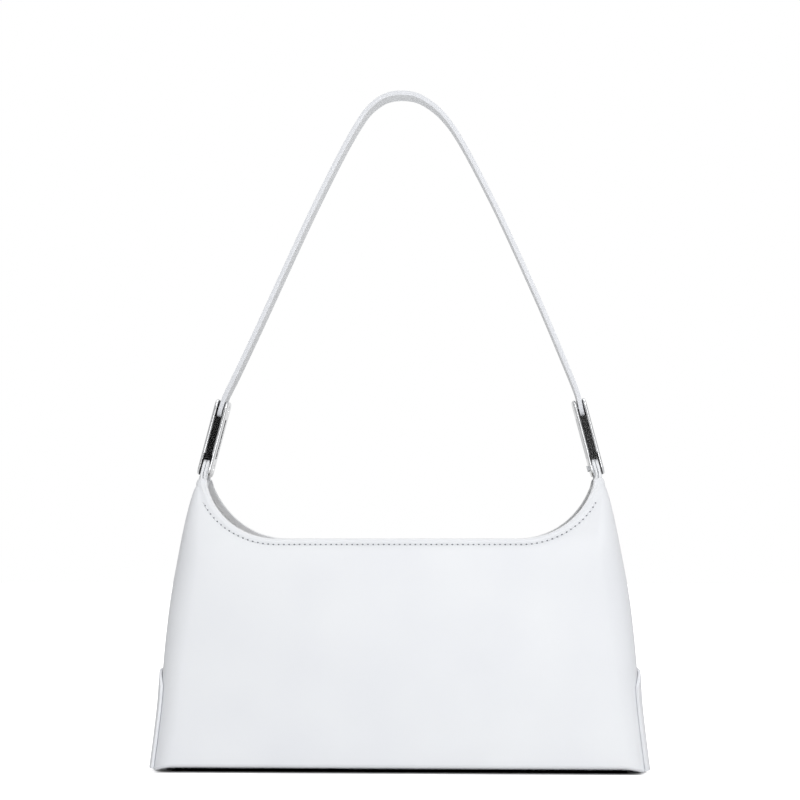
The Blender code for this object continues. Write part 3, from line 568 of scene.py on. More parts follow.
# %% Front and back wall
PANEL = 1.5 * MM
SEAM_LINE = 3.3 * MM
FRONT_SEAM_EAR = 4.5 * MM
BACK_SEAM_EAR = 3.0 * MM
SEAM_CLIMB = 18.0 * MM
VALLEY_DEPTH = 0.28 * MM
VALLEY_WIDTH = 1.1 * MM
RIM_SWELL = 0.22 * MM
BEAD = 0.55 * MM
RIM_ROWS = [0.0, 0.5, 1.0, 1.6, 2.2, 2.8, 3.3, 3.7, 4.1, 4.6, 5.2, 6.0, 7.2, 9.0, 11.5, 15.0, 20.0, 26.0]
WALL_ROWS = 24


def rim_distance(point):
    """Shortest way from a point of the front to the rim, seen from the front."""
    best = 1.0
    for a, b in zip(RIM_LINE, RIM_LINE[1:]):
        if min(abs(a.x - point.x), abs(b.x - point.x)) > 12 * MM:
            continue
        run = Vector((b.x - a.x, b.z - a.z))
        way = Vector((point.x - a.x, point.z - a.z))
        t = min(max(way.dot(run) / max(run.dot(run), 1e-12), 0.0), 1.0)
        best = min(best, (way - run * t).length)
    return best


def seam_drop(z, at_ear):
    """How far the seam runs from the rim: one distance along the level rim, another where it climbs to the ears."""
    return SEAM_LINE + (at_ear - SEAM_LINE) * min(max((z - RIM) / SEAM_CLIMB, 0.0), 1.0)


def valley(point, at_ear):
    """How far the leather lies under the body's surface near the seam: in at the thread, out between it and the rim."""
    down, seam = rim_distance(point), seam_drop(point.z, at_ear)
    swell = RIM_SWELL * math.sin(math.pi * min(down / seam, 1.0)) ** 2
    return VALLEY_DEPTH * math.exp(-(((down - seam) / VALLEY_WIDTH) ** 2)) - swell


def wall_columns(at_ear):
    columns = []
    for share, angle in COLUMNS:
        foot = SIDE_ROLL + (angle or 0.0) / (math.pi / 2) * (FRONT_ROLL - SIDE_ROLL)
        column = [wall_point(share, angle, 0.0, 0.0, math.pi / 2, 1.0)]
        for k in range(6):
            column.append(wall_point(share, angle, 0.0, 0.0, math.pi / 2 * (1 - k / 6)))
        top = column_top(share, angle) - BEAD
        low = top - RIM_ROWS[-1] * MM
        heights = [foot + (low - foot) * k / WALL_ROWS for k in range(WALL_ROWS)]
        for z in heights:
            column.append(wall_point(share, angle, z))
        for below in reversed(RIM_ROWS):
            z = top - below * MM
            point = wall_point(share, angle, z)
            if below < 20:
                point = wall_point(share, angle, z, valley(point, at_ear))
            column.append(point)
        columns.append(column)
    return columns


front_wall = thicken(grid_sheet(wall_columns(FRONT_SEAM_EAR)), PANEL, 0.3 * MM)
dressed(front_wall, "front_wall", calf, "body", "leather", "front_panel")
back_wall = thicken(grid_sheet(turned_round(wall_columns(BACK_SEAM_EAR))), PANEL, 0.3 * MM)
dressed(back_wall, "back_wall", calf, "body", "leather", "back_panel")

# %% [markdown]
# ** Facings.** A band of thinner leather lines the walls from the rim down, where the inside shows. Its white is drawn
# a little brighter than the walls' calf: painted light that lifts the shaded inside. Its own lower edge is left raw
# and catches a little light over the cloth.

# %% Facings
FACING = 1.1 * MM
GLUE = 0.15 * MM
FACING_DROP = 28.0 * MM
FACING_ROWS = [0.0, 1.0, 2.2, 3.2, 3.7, 4.2, 5.4, 8.0, 12.0, 17.0, 22.0, 28.0]


def facing_columns():
    columns = []
    for share, angle in COLUMNS:
        if angle is None or angle < math.pi / 5:
            continue
        top = column_top(share, angle) - BEAD
        heights = [top - (FACING_DROP - BEAD) * below / FACING_ROWS[-1] for below in reversed(FACING_ROWS)]
        columns.append([wall_point(share, angle, z, PANEL + GLUE) for z in heights])
    return columns


inner_columns = facing_columns()
front_facing = thicken(grid_sheet(inner_columns), FACING, 0.25 * MM)
dressed(front_facing, "front_facing_band", facing_calf, "body", "leather", "front_facing")
back_facing = thicken(grid_sheet(turned_round(inner_columns)), FACING, 0.25 * MM)
dressed(back_facing, "back_facing_band", facing_calf, "body", "leather", "back_facing")

# %% [markdown]
# **Painted rim.** Wall and facing are trimmed together and painted, so the rim shows one domed bead. It is a tube
# that follows the rim, with an oval section as wide as the two sheets. A tube is a grid as well, with its first and
# last column joined by a merge.

# %% Painted rim
STACK = PANEL + GLUE + FACING
BEAD_EXTRA = 0.1 * MM


def oval_tube(path, wide, high, ring=14):
    """A closed tube through (centre, side, up) places, with round ends."""
    columns = []
    for k in range(ring + 1):
        turn = -2 * math.pi * k / ring
        offset = (math.cos(turn) * wide / 2, math.sin(turn) * high)
        columns.append([c + side * offset[0] + up * offset[1] for c, side, up in path])
    piece = grid_sheet(columns)
    alone(piece)
    bpy.ops.object.mode_set(mode="EDIT")
    bpy.ops.mesh.select_all(action="SELECT")
    bpy.ops.mesh.remove_doubles(threshold=0.002 * MM)
    bpy.ops.mesh.select_all(action="DESELECT")
    bpy.ops.mesh.select_non_manifold()
    bpy.ops.mesh.fill_holes(sides=0)
    bpy.ops.mesh.select_all(action="SELECT")
    bpy.ops.mesh.normals_make_consistent(inside=False)
    bpy.ops.object.mode_set(mode="OBJECT")
    bpy.ops.object.shade_smooth_by_angle(angle=math.radians(60))
    return piece


def rim_path(facing_side):
    path = []
    for share, angle in COLUMNS:
        z = column_top(share, angle) - BEAD
        path.append((wall_point(share, angle, z), wall_point(share, angle, z, STACK)))
    places = []
    for i, (outer, inner) in enumerate(path):
        before = path[max(i - 1, 0)][0]
        after = path[min(i + 1, len(path) - 1)][0]
        along = (after - before).normalized()
        side = (outer - inner).normalized()
        up = side.cross(along).normalized()
        if up.z < 0:
            up = -up
        centre = (outer + inner) / 2
        if facing_side < 0:
            centre, side, up = behind(centre), behind(side), behind(up)
        places.append((centre, side, up))
    return places


front_bead = oval_tube(rim_path(1), STACK + BEAD_EXTRA, BEAD)
dressed(front_bead, "front_rim_paint", edge_paint, "body", "leather")
back_bead = oval_tube(rim_path(-1), STACK + BEAD_EXTRA, BEAD)
dressed(back_bead, "back_rim_paint", edge_paint, "body", "leather")

# %% [markdown]
# **Sides and ears.** Each side is one narrow sheet. It runs from the foot up into the link, is folded over the screw
# there and comes down again inside, which makes the doubled ear. It is bored for the screw.

# %% Sides and ears
GAP = 0.3 * MM
EAR_PIN_Z = SHOULDER + 5.8 * MM
EAR_STACK = 3.3 * MM
EAR_PIN_X = BASE_HALF_WIDTH * WIDTH_SHARES[-1] - 5.8 * MM * math.tan(LEAN) - EAR_STACK / 2 / math.cos(LEAN)
TAB_TOP = EAR_PIN_Z + 5.5 * MM * math.cos(LEAN)
TAB_CORNER = 4.5 * MM
TAB_HALF = 6.9 * MM
FOLD_RADIUS = EAR_STACK / 2
SCREW_HOLE = 1.7 * MM
EAR_BORE = 10.0 * MM
SIDE_SHARES = [math.sin(math.pi / 2 * k / 7) for k in range(-7, 8)]


def side_half(z):
    """Half width of a side sheet: up to its seams, then the tab with its rounded tip."""
    if z <= SHOULDER + 0.2 * MM:
        return half_depth(z) - corner_radius(z) - SEAM_INSET - GAP
    foot = TAB_TOP - TAB_CORNER * math.cos(LEAN)
    if z <= foot:
        return TAB_HALF
    along = (z - foot) / math.cos(LEAN)
    return TAB_HALF - TAB_CORNER + math.sqrt(max(TAB_CORNER**2 - along**2, 0.0))


def side_columns(side):
    """Up the outside of a side, round the fold over the screw and down the inside again."""
    up = Vector((-side * math.sin(LEAN), 0.0, math.cos(LEAN)))
    out = Vector((side * math.cos(LEAN), 0.0, math.sin(LEAN)))
    fold_foot = TAB_TOP - FOLD_RADIUS * math.cos(LEAN)
    rising = [SIDE_ROLL + (SHOULDER - SIDE_ROLL) * k / 44 for k in range(45)]
    rising += [SHOULDER + 0.4 * MM + (fold_foot - SHOULDER - 0.4 * MM) * k / 8 for k in range(9)]
    falling = [z for z in reversed(rising) if z > SHOULDER - FACING_DROP]
    centre = Vector((side * half_width(fold_foot), 0.0, fold_foot)) - out * FOLD_RADIUS
    columns = []
    for share in SIDE_SHARES:
        edge = share * side_half(0.0)
        column = [Vector((side * (BASE_HALF_WIDTH - SIDE_ROLL - SIDE_TURN), edge, 0.0))]
        for k in range(6):
            roll = math.pi / 2 * (1 - k / 6)
            x = BASE_HALF_WIDTH - SIDE_ROLL * (1 - math.cos(roll))
            column.append(Vector((side * x, edge, SIDE_ROLL * (1 - math.sin(roll)))))
        column += [Vector((side * half_width(z), share * side_half(z), z)) for z in rising]
        for k in range(1, 10):
            turn = math.pi * k / 10
            point = centre + out * (FOLD_RADIUS * math.cos(turn)) + up * (FOLD_RADIUS * math.sin(turn))
            column.append(Vector((point.x, share * side_half(min(point.z, TAB_TOP)), point.z)))
        for z in falling:
            x = half_width(z) - 2 * FOLD_RADIUS * slant(half_width, z)
            column.append(Vector((side * x, share * side_half(z), z)))
        columns.append(column)
    return columns if side > 0 else list(reversed(columns))


def bore(piece, x, z, side, length):
    """Cut a round hole for a screw that leans with the link."""
    deselect()
    bpy.ops.mesh.primitive_cylinder_add(vertices=24, radius=SCREW_HOLE, depth=length)
    cutter = bpy.context.object
    cutter.matrix_world = Matrix.Translation((side * x, 0.0, z)) @ Matrix.Rotation(
        -side * (LEAN + math.pi / 2), 4, "Y"
    )
    cut_away(piece, cutter)


for side, label in ((-1, "left"), (1, "right")):
    ear = thicken(grid_sheet(side_columns(side)), PANEL, 0.4 * MM)
    bore(ear, EAR_PIN_X, EAR_PIN_Z, side, EAR_BORE)
    alone(ear)
    bpy.ops.object.shade_smooth_by_angle(angle=SMOOTH)
    dressed(ear, "side_and_ear_" + label, strap_calf, "body", "leather", "gusset_" + label, "ear_facing_" + label)

# %% [markdown]
# **Corner patches.** Each lower side is guarded by one more layer of calf, wrapped a little way round both corners,
# with a top edge that rounds off to its ends. Its cut edge stands proud and throws the thin dark line that frames it.

# %% Corner patches
PATCH = 1.6 * MM
PATCH_HEIGHT = 56.0 * MM
PATCH_ROUND = 9.0 * MM
PATCH_WRAP = math.radians(32)
PATCH_FOOT = 1.6 * MM


def patch_columns(side):
    depth = -(GAP + PATCH)
    level = PATCH_HEIGHT - PATCH_ROUND
    across = [(PATCH_WRAP * (1 - k / 6), None, 1) for k in range(6)]
    across += [(0.0, share, 1) for share in SIDE_SHARES]
    across += [(PATCH_WRAP * (k + 1) / 6, None, -1) for k in range(6)]
    columns = []
    for i, (angle, share, front) in enumerate(across):
        rise = PATCH_ROUND * (1 - abs(2 * i / (len(across) - 1) - 1) ** 4)
        heights = [PATCH_FOOT + (level - PATCH_FOOT) * k / 18 for k in range(19)] + [
            level + rise * k / 6 for k in range(1, 7)
        ]
        column = []
        for z in heights:
            if share is None:
                point = wall_point(side, angle, z, depth)
                column.append(Vector((side * abs(point.x), front * point.y, z)))
            else:
                x = half_width(z) - depth * slant(half_width, z)
                column.append(Vector((side * x, share * (half_depth(z) - corner_radius(z)), z)))
        columns.append(column)
    return columns if side > 0 else list(reversed(columns))


for side, label in ((-1, "left"), (1, "right")):
    patch = thicken(grid_sheet(patch_columns(side)), PATCH, 0.45 * MM, segments=4)
    dressed(patch, "patch_" + label, calf, "body", "leather", "corner_patch_" + label)

# %% [markdown]
# **Underside.** A separate leather panel closes the base between the turned-in walls and follows the arch.

# %% Underside
base_x = BASE_HALF_WIDTH - SIDE_ROLL - SIDE_TURN - GAP
base_y = BASE_HALF_DEPTH - FRONT_ROLL - FRONT_TURN - GAP
base_end = BASE_HALF_DEPTH - CORNERS[0] - SEAM_INSET


def base_columns():
    columns = []
    for k in range(-6, 7):
        share = k / 6
        column = []
        for i in range(61):
            x = base_x * math.sin(math.pi / 2 * (i / 30 - 1))
            reach = base_y if abs(x) < base_x - 2 * MM else min(base_y, base_end)
            column.append(Vector((-x, share * reach, arch(x))))
        columns.append(column)
    return columns


underside = thicken(grid_sheet(base_columns()), PANEL, 0.3 * MM)
dressed(underside, "underside", calf, "body", "leather", "base_panel")

# %% [markdown]
# **Lining.** A cloth sack hangs from the facings and lies on the board. The cloth is cut a little generously, so it
# stands off the walls in slow folds. It is sewn in all round and lies against stiff walls, so no cloth simulation is
# used: a noise moves its points off the wall.

# %% Lining
CLOTH = 0.8 * MM
INNER = PANEL + GAP
FLOOR = 4.6 * MM + 2.0 * MM + GAP
LINING_ROWS = 30


def fold(point, share_up):
    """How far the cloth stands off the wall: nothing at its sewn edge and its floor."""
    soft = math.sin(math.pi * share_up)
    wave = noise.noise(Vector((point.x * 55, 7.0 if point.y > 0 else 1.0, point.z * 18)))
    return soft * max(wave, 0.0) * 2.2 * MM


def lining_columns():
    columns = []
    for share, angle in COLUMNS[::2]:
        top = column_top(share, angle) - FACING_DROP + 2 * MM
        column = []
        for k in range(LINING_ROWS + 1):
            z = FLOOR + (top - FLOOR) * k / LINING_ROWS
            depth = INNER if z < top - 4 * MM else INNER + 1.2 * MM
            point = wall_point(share, angle, z, depth)
            inward = fold(point, k / LINING_ROWS)
            point = wall_point(share, angle, z, depth + inward)
            point.z = z
            column.append(point)
        columns.append(column)
    return columns


front_cloth = lining_columns()
loop = front_cloth + turned_round(front_cloth)
loop.append(loop[0])
sack = grid_sheet(loop)
alone(sack)
bpy.ops.object.mode_set(mode="EDIT")
bpy.ops.mesh.select_all(action="SELECT")
bpy.ops.mesh.remove_doubles(threshold=0.005 * MM)
bpy.ops.mesh.select_all(action="DESELECT")
bpy.ops.object.mode_set(mode="OBJECT")
for edge in sack.data.edges:
    a, b = [sack.data.vertices[i].co for i in edge.vertices]
    edge.select = max(a.z, b.z) < FLOOR + 0.01 * MM
bpy.ops.object.mode_set(mode="EDIT")
bpy.ops.mesh.select_mode(type="EDGE")
bpy.ops.mesh.edge_face_add()
bpy.ops.object.mode_set(mode="OBJECT")
thicken(sack, CLOTH, 0.2 * MM, segments=2)
dressed(sack, "lining_sack", lining_cloth, "body", "lining", "lining")

# %% [markdown]
# **Slip pocket.** A flat pocket on the back of the lining, with a doubled hem along its open top edge.

# %% Slip pocket
POCKET_HALF = 62.0 * MM
POCKET_LOW = 32.0 * MM
POCKET_HIGH = RIM - FACING_DROP - 7.0 * MM
POCKET_STANDS_OFF = 2.6 * MM
HEM = 9.0 * MM


def pocket_columns(low, high, depth, rows=12):
    columns = []
    for k in range(-20, 21):
        column = []
        for j in range(rows + 1):
            z = low + (high - low) * j / rows
            share = k / 20 * POCKET_HALF / flat_x(1.0, z)
            gape = 0.5 * MM * (1 - (k / 20) ** 2) * (j / rows) ** 3
            column.append(wall_point(share, math.pi / 2, z, depth + gape))
        columns.append(column)
    return columns


pocket_depth = INNER + CLOTH + POCKET_STANDS_OFF
pocket = thicken(grid_sheet(turned_round(pocket_columns(POCKET_LOW, POCKET_HIGH, pocket_depth))), CLOTH, 0.2 * MM)
dressed(pocket, "pocket_cloth", lining_cloth, "body", "lining", "slip_pocket")
hem_grid = pocket_columns(POCKET_HIGH - HEM, POCKET_HIGH + 0.3 * MM, pocket_depth + CLOTH, 6)
hem = thicken(grid_sheet(turned_round(hem_grid)), CLOTH, 0.3 * MM)
dressed(hem, "pocket_hem", lining_cloth, "body", "lining")

# %% [markdown]
# **Strap.** Two plies of calf, glued back to back, 15 mm wide, run from link to link in one arch. Both plies are cut
# and painted together, so the edge shows one smooth dome. A smooth curve through a few shares of span and rise gives
# the middle line, and the arch sways a little to one side, as a strap does that was set up by hand. The ends taper and
# round off inside the links' upper slots.

# %% Strap
LINK_PITCH = 34.1 * MM
STRAP_PIN_X = EAR_PIN_X - LINK_PITCH * math.sin(LEAN)
STRAP_PIN_Z = EAR_PIN_Z + LINK_PITCH * math.cos(LEAN)
STRAP_RISE = 177.2 * MM
STRAP_HALF = 7.5 * MM
STRAP_TIP = 6.5 * MM
STRAP_STRAIGHT = 7.0 * MM
STRAP_TAPER = 21.0 * MM
STRAP_THICK = 2.4 * MM
STRAP_BORE = 8.0 * MM
SPAN_SHARES = (0.0, 0.137, 0.275, 0.484, 0.695, 0.892, 1.0)
RISE_SHARES = (1.0, 0.977, 0.889, 0.665, 0.407, 0.155, 0.0)
SWAY = 2.3 * MM
SWAY_LEVEL_SHARES = (0.0, 0.1, 0.35, 0.88, 1.0)
SWAY_SHARES = (0.0, 0.5, 1.0, 1.0, 0.3)
STEPS = 14


def strap_line():
    """The right half of the strap's middle line, from the apex to the round end, with its half widths."""
    down = [Vector((a * STRAP_PIN_X, STRAP_PIN_Z + b * STRAP_RISE)) for a, b in zip(SPAN_SHARES, RISE_SHARES)]
    lean = Vector((math.sin(LEAN), -math.cos(LEAN)))
    straight_top = down[-1] - lean * STRAP_STRAIGHT
    knots = down[:-1] + [straight_top]
    chain = [Vector((-knots[1].x, knots[1].y))] + knots + [straight_top + lean * STRAP_STRAIGHT]
    line = []
    for i in range(1, len(chain) - 2):
        p0, p1, p2, p3 = chain[i - 1 : i + 3]
        for k in range(STEPS):
            t = k / STEPS
            bend = (2 * p0 - 5 * p1 + 4 * p2 - p3) * t * t + (3 * p1 - p0 - 3 * p2 + p3) * t**3
            line.append(0.5 * (2 * p1 + (p2 - p0) * t + bend))
    line.append(straight_top)
    widths = []
    for point in line:
        share = min((point - down[-1]).length / STRAP_TAPER, 1.0)
        widths.append(STRAP_TIP + (STRAP_HALF - STRAP_TIP) * share * share * (3 - 2 * share))
    turns = [math.radians(a) for a in (0, 12, 24, 36, 48, 58, 67, 75, 83)]
    tail = [down[-1] + lean * STRAP_TIP * math.sin(a) for a in turns]
    return line, tail, widths + [STRAP_TIP * math.cos(a) for a in turns], lean


def strap_columns(offset):
    line, tail, widths, lean = strap_line()
    whole = line + tail
    places = []
    for i, point in enumerate(whole):
        if i == 0:
            along = Vector((1.0, 0.0))
        elif i >= len(line) - 1:
            along = lean
        else:
            along = (whole[i + 1] - whole[i - 1]).normalized()
        places.append((point + Vector((-along.y, along.x)) * offset, widths[i]))
    both = [(Vector((-p.x, p.y)), w) for p, w in reversed(places[1:])] + places
    for p, w in both:
        p.x += SWAY * smooth_read(SWAY_LEVEL_SHARES, SWAY_SHARES, (p.y - STRAP_PIN_Z) / STRAP_RISE)
    return [[Vector((p.x, share * w, p.y)) for share in (-1, -0.92, -0.5, 0, 0.5, 0.92, 1)] for p, w in both]


strap = thicken(grid_sheet(strap_columns(STRAP_THICK / 2)), STRAP_THICK, 0.8 * MM, segments=5)
for side in (-1, 1):
    bore(strap, STRAP_PIN_X, STRAP_PIN_Z, side, STRAP_BORE)
alone(strap)
bpy.ops.object.shade_smooth_by_angle(angle=SMOOTH)
dressed(strap, "strap_band", strap_calf, "strap", "leather", "strap_outer", "strap_lining")
strap.data.materials.append(strap_paint)
for face in strap.data.polygons:
    if abs(face.normal.y) > 0.55:
        face.material_index = 1

# %% [markdown]
# **Links.** Each link is a pair of polished cheeks with fully rounded fronts, joined by a narrower core that stands
# back between them. A rounded front mirrors the bright room on both sides of one thin dark line, while the flat core
# mirrors only what is straight ahead, the dark camera side of the studio, and shows black. A cheek is a slab whose
# outline is rounded first and whose two rims are then beveled to meet. Slots, panel and bores are cut into it. The
# core's ends are hollowed round the two screws, so ear and strap turn freely close in front of it.

# %% Link helpers
CHEEK = 1.85 * MM
LINK_DEPTH = 15.0 * MM
LINK_END = 5.0 * MM
LINK_CORNER = 4.0 * MM
CORE_HALF = 1.9 * MM
CORE_FACE = LINK_DEPTH / 2 - 1.4 * MM
CORE_FOOT = 7.56 * MM
CORE_HEAD = 27.0 * MM
EAR_SLOT_HALF = 2.6 * MM
EAR_HOLLOW = 7.45 * MM
STRAP_HOLLOW = 7.6 * MM
PANEL_SUNK = 0.4 * MM
RIM_BREAK = 0.12 * MM
CHEEK_HOLE = 1.5 * MM
HEAD_SEAT = 2.6 * MM
HEAD_SEAT_DEPTH = 0.9 * MM
HEAD_SEAT_END = 9.0 * MM
THROUGH = 10.0 * MM


def slab(low, high):
    """A block from its lowest to its highest corner, added as a cube at its size and place."""
    deselect()
    middle = [(a + b) / 2 for a, b in zip(low, high)]
    bpy.ops.mesh.primitive_cube_add(size=1.0, location=middle)
    block = bpy.context.object
    block.scale = [b - a for a, b in zip(low, high)]
    bpy.ops.object.transform_apply(location=True, rotation=False, scale=True)
    return block


def select_edges(piece, wanted):
    """Select only the edges whose two ends pass a test."""
    alone(piece)
    bpy.ops.object.mode_set(mode="EDIT")
    bpy.ops.mesh.select_mode(type="EDGE")
    bpy.ops.mesh.select_all(action="DESELECT")
    bpy.ops.object.mode_set(mode="OBJECT")
    for edge in piece.data.edges:
        a, b = [piece.data.vertices[i].co for i in edge.vertices]
        edge.select = wanted(a, b)
    bpy.ops.object.mode_set(mode="EDIT")


def cheek(sign):
    """One cheek in the link's own frame: X through the cheeks, Z along the link from the lower screw."""
    inner, outer = CORE_HALF, CORE_HALF + CHEEK
    block = slab((inner, -LINK_DEPTH / 2, -LINK_END), (outer, LINK_DEPTH / 2, LINK_PITCH + LINK_END))
    select_edges(block, lambda a, b: abs(a.x - b.x) > CHEEK / 2)
    bpy.ops.mesh.bevel(offset=LINK_CORNER, segments=8, affect="EDGES")
    bpy.ops.object.mode_set(mode="OBJECT")
    select_edges(block, lambda a, b: abs(a.x - b.x) < 1e-6)
    bpy.ops.mesh.bevel(offset=CHEEK * 0.46, segments=6, affect="EDGES")
    bpy.ops.object.mode_set(mode="OBJECT")
    reach = LINK_DEPTH
    cut_away(block, slab((0.0, -reach, -reach), (EAR_SLOT_HALF, reach, CORE_FOOT)))
    middle = (CORE_FOOT + CORE_HEAD) / 2
    panel = slab((outer - PANEL_SUNK, -2.5 * MM, middle - 11.5 * MM), (outer + MM, 2.5 * MM, middle + 11.5 * MM))
    cut_away(block, panel)
    for vertex in block.data.vertices:
        vertex.co.x *= sign
    if sign < 0:
        block.data.flip_normals()
    return block


def drill(piece, along, radius, low, high):
    """A round hole through X at a height, between two places."""
    deselect()
    bpy.ops.mesh.primitive_cylinder_add(
        vertices=48,
        radius=radius,
        depth=high - low,
        location=((low + high) / 2, 0.0, along),
        rotation=(0.0, math.pi / 2, 0.0),
    )
    tool = bpy.context.object
    bpy.ops.object.transform_apply(location=True, rotation=True, scale=True)
    cut_away(piece, tool)


# %% The two links
for side, label in ((-1, "left"), (1, "right")):
    parts = []
    for sign in (-1, 1):
        plate = cheek(sign)
        for along in (0.0, LINK_PITCH):
            drill(plate, along, CHEEK_HOLE, -THROUGH, THROUGH)
            if sign == -side:
                seat = CORE_HALF + CHEEK - HEAD_SEAT_DEPTH
                drill(plate, along, HEAD_SEAT, *((seat, HEAD_SEAT_END) if sign > 0 else (-HEAD_SEAT_END, -seat)))
        parts.append(plate)
    for part in parts:
        round_edges(part, RIM_BREAK, 2, 55)
    foot = math.sqrt(EAR_HOLLOW**2 - CORE_FACE**2)
    head = LINK_PITCH - math.sqrt(STRAP_HOLLOW**2 - CORE_FACE**2)
    for half, low, high in ((CORE_HALF, CORE_FOOT - 0.2 * MM, head), (EAR_SLOT_HALF, foot, CORE_FOOT)):
        core = slab((-half - 0.15 * MM, -CORE_FACE, low), (half + 0.15 * MM, CORE_FACE, high))
        drill(core, 0.0, EAR_HOLLOW, -THROUGH, THROUGH)
        drill(core, LINK_PITCH, STRAP_HOLLOW, -THROUGH, THROUGH)
        parts.append(core)
    deselect()
    for part in parts:
        part.select_set(True)
    bpy.context.view_layer.objects.active = parts[0]
    bpy.ops.object.join()
    link = bpy.context.object
    recess = CORE_HALF + CHEEK - PANEL_SUNK
    in_slot = [
        abs(f.normal.x) > 0.9
        and (abs(f.center.x) < EAR_SLOT_HALF + 0.01 * MM or abs(abs(f.center.x) - recess) < 0.01 * MM)
        for f in link.data.polygons
    ]
    stand = Matrix.Translation((side * EAR_PIN_X, 0.0, EAR_PIN_Z)) @ Matrix.Rotation(-side * LEAN, 4, "Y")
    link.data.transform(stand)
    bpy.ops.object.shade_smooth_by_angle(angle=math.radians(35))
    flat = link.modifiers.new("flat faces", "WEIGHTED_NORMAL")
    flat.keep_sharp = True
    apply_all(link)
    dressed(link, "polished_link_" + label, chrome, "link_" + label, "chrome", "link_" + label)
    # Faces in the slots and sunk panels take the near-black metal: painted shade.
    link.data.materials.append(slot_shade_metal)
    for face, hidden in zip(link.data.polygons, in_slot):
        face.material_index = 1 if hidden else 0

# %% [markdown]
# **Thread.** A lockstitch seam runs along the rim, 3 to 5 mm below the edge, at 2.9 mm a stitch. Each stitch is a short
# round bar that dips into a hole at both ends and slants a little, because the thread pulls to alternate sides. One
# stitch and one hole are modelled and copied along the line.

# %% Stitches along the rim
PITCH = 2.9 * MM
THREAD = 0.55 * MM


def front_surface(x, z, depth=0.0):
    """A point on the front wall, or at a depth under it, from its place seen from the front."""
    flat = half_width(z) - corner_radius(z)
    if abs(x) <= flat:
        return wall_point(x / flat, math.pi / 2, z, depth)
    reach = min((abs(x) - flat) / corner_radius(z), 0.999)
    return wall_point(math.copysign(1.0, x), math.acos(reach), z, depth)


def inner_surface(x, z):
    """A point on the facing's inner side."""
    return front_surface(x, z, STACK)


def rim_moved(away, stop):
    """The rim up to a height, moved into the leather by a distance that may change with the height."""
    line = []
    for a, b in zip(RIM_LINE, RIM_LINE[1:]):
        run = Vector((b.x - a.x, b.z - a.z))
        height = (a.z + b.z) / 2
        if run.length < 1e-6 or height > stop:
            continue
        out = Vector((run.y, -run.x)).normalized()
        line.append(Vector(((a.x + b.x) / 2, height)) + out * away(height))
    return line


def even_places(line, pitch):
    """Places along a line at an even pitch, each with its direction."""
    places, left = [], pitch / 2
    for a, b in zip(line, line[1:]):
        length = (b - a).length
        while left <= length:
            places.append((a + (b - a) * (left / length), (b - a).normalized()))
            left += pitch
        left -= length
    return places


def copies(pattern, matrices):
    """One object made of a pattern mesh repeated at each matrix."""
    points, faces = [], []
    for matrix in matrices:
        start = len(points)
        points += [matrix @ vertex.co for vertex in pattern.vertices]
        faces += [[start + i for i in face.vertices] for face in pattern.polygons]
    mesh = bpy.data.meshes.new("copies")
    mesh.from_pydata(points, [], faces)
    piece = bpy.data.objects.new("copies", mesh)
    bpy.context.scene.collection.objects.link(piece)
    alone(piece)
    bpy.ops.object.shade_smooth()
    return piece


def pattern_mesh(length, wide, high):
    """A small round bar along X, from a sphere drawn out to its length."""
    deselect()
    bpy.ops.mesh.primitive_uv_sphere_add(segments=8, ring_count=6, radius=0.5, rotation=(0, math.pi / 2, 0))
    ball = bpy.context.object
    bpy.ops.object.transform_apply(location=False, rotation=True, scale=False)
    mesh = ball.data.copy()
    for vertex in mesh.vertices:
        x, y, z = vertex.co
        vertex.co = (math.copysign(max(length / 2 - wide / 2, 0.0), x) * (abs(x) > 0.01) + x * wide, y * wide, z * high)
    bpy.data.objects.remove(ball, do_unlink=True)
    return mesh


stitch_mesh = pattern_mesh(2.0 * MM, THREAD, THREAD)
hole_mesh = pattern_mesh(1.0 * MM, 0.75 * MM, 0.16 * MM)


def seam_frames(places, surface, slant_angle, lift, shift=0.0):
    """A matrix for each stitch: X along the seam, Z out of the leather."""
    frames = []
    for place, along in places:
        step = 0.3 * MM
        here = place + along * shift
        point = surface(here.x, here.y)
        right = (surface(here.x + step, here.y) - surface(here.x - step, here.y)).normalized()
        up = (surface(here.x, here.y + step) - surface(here.x, here.y - step)).normalized()
        out = right.cross(up).normalized()
        x_axis = (right * along.x + up * along.y).normalized()
        x_axis = Matrix.Rotation(slant_angle, 3, out) @ x_axis
        y_axis = out.cross(x_axis)
        frame3 = Matrix((x_axis, y_axis, out)).transposed()
        frames.append(Matrix.Translation(point + out * lift) @ frame3.to_4x4())
    return frames


SEAM_END = SHOULDER - 11.3 * MM
turn_back = Matrix.Rotation(math.pi, 4, "Z")
walls_sewn = (("front", Matrix.Identity(4), FRONT_SEAM_EAR), ("back", turn_back, BACK_SEAM_EAR))
for label, turn, at_ear in walls_sewn:
    places = even_places(rim_moved(lambda z: seam_drop(z, at_ear), SEAM_END), PITCH)
    for sheet, surface, out in (("rim", front_surface, 1), ("facing", inner_surface, -1)):
        stitches = seam_frames(places, surface, math.radians(14 * out), -0.02 * MM * out)
        thread = copies(stitch_mesh, [turn @ m for m in stitches])
        dressed(thread, "%s_%s_thread" % (label, sheet), thread_stuff, "body", "leather")
        # The grey patches between stitches are painted shade for the needle holes.
        between = seam_frames(places, surface, 0.0, -0.12 * MM * out, PITCH / 2)
        holes = copies(hole_mesh, [turn @ m for m in between])
        dressed(holes, "%s_%s_holes" % (label, sheet), hole_stuff, "body", "leather")
print("stitches on each side of a wall:", len(places))

# %% [markdown]
# **Ear welts.** The painted edges of an ear's two plies don't stop at the wall. They run on as two soft welts, side by
# side along the rim, and fade into it on their way down. Each is a tube like the painted rim, with a size that falls.

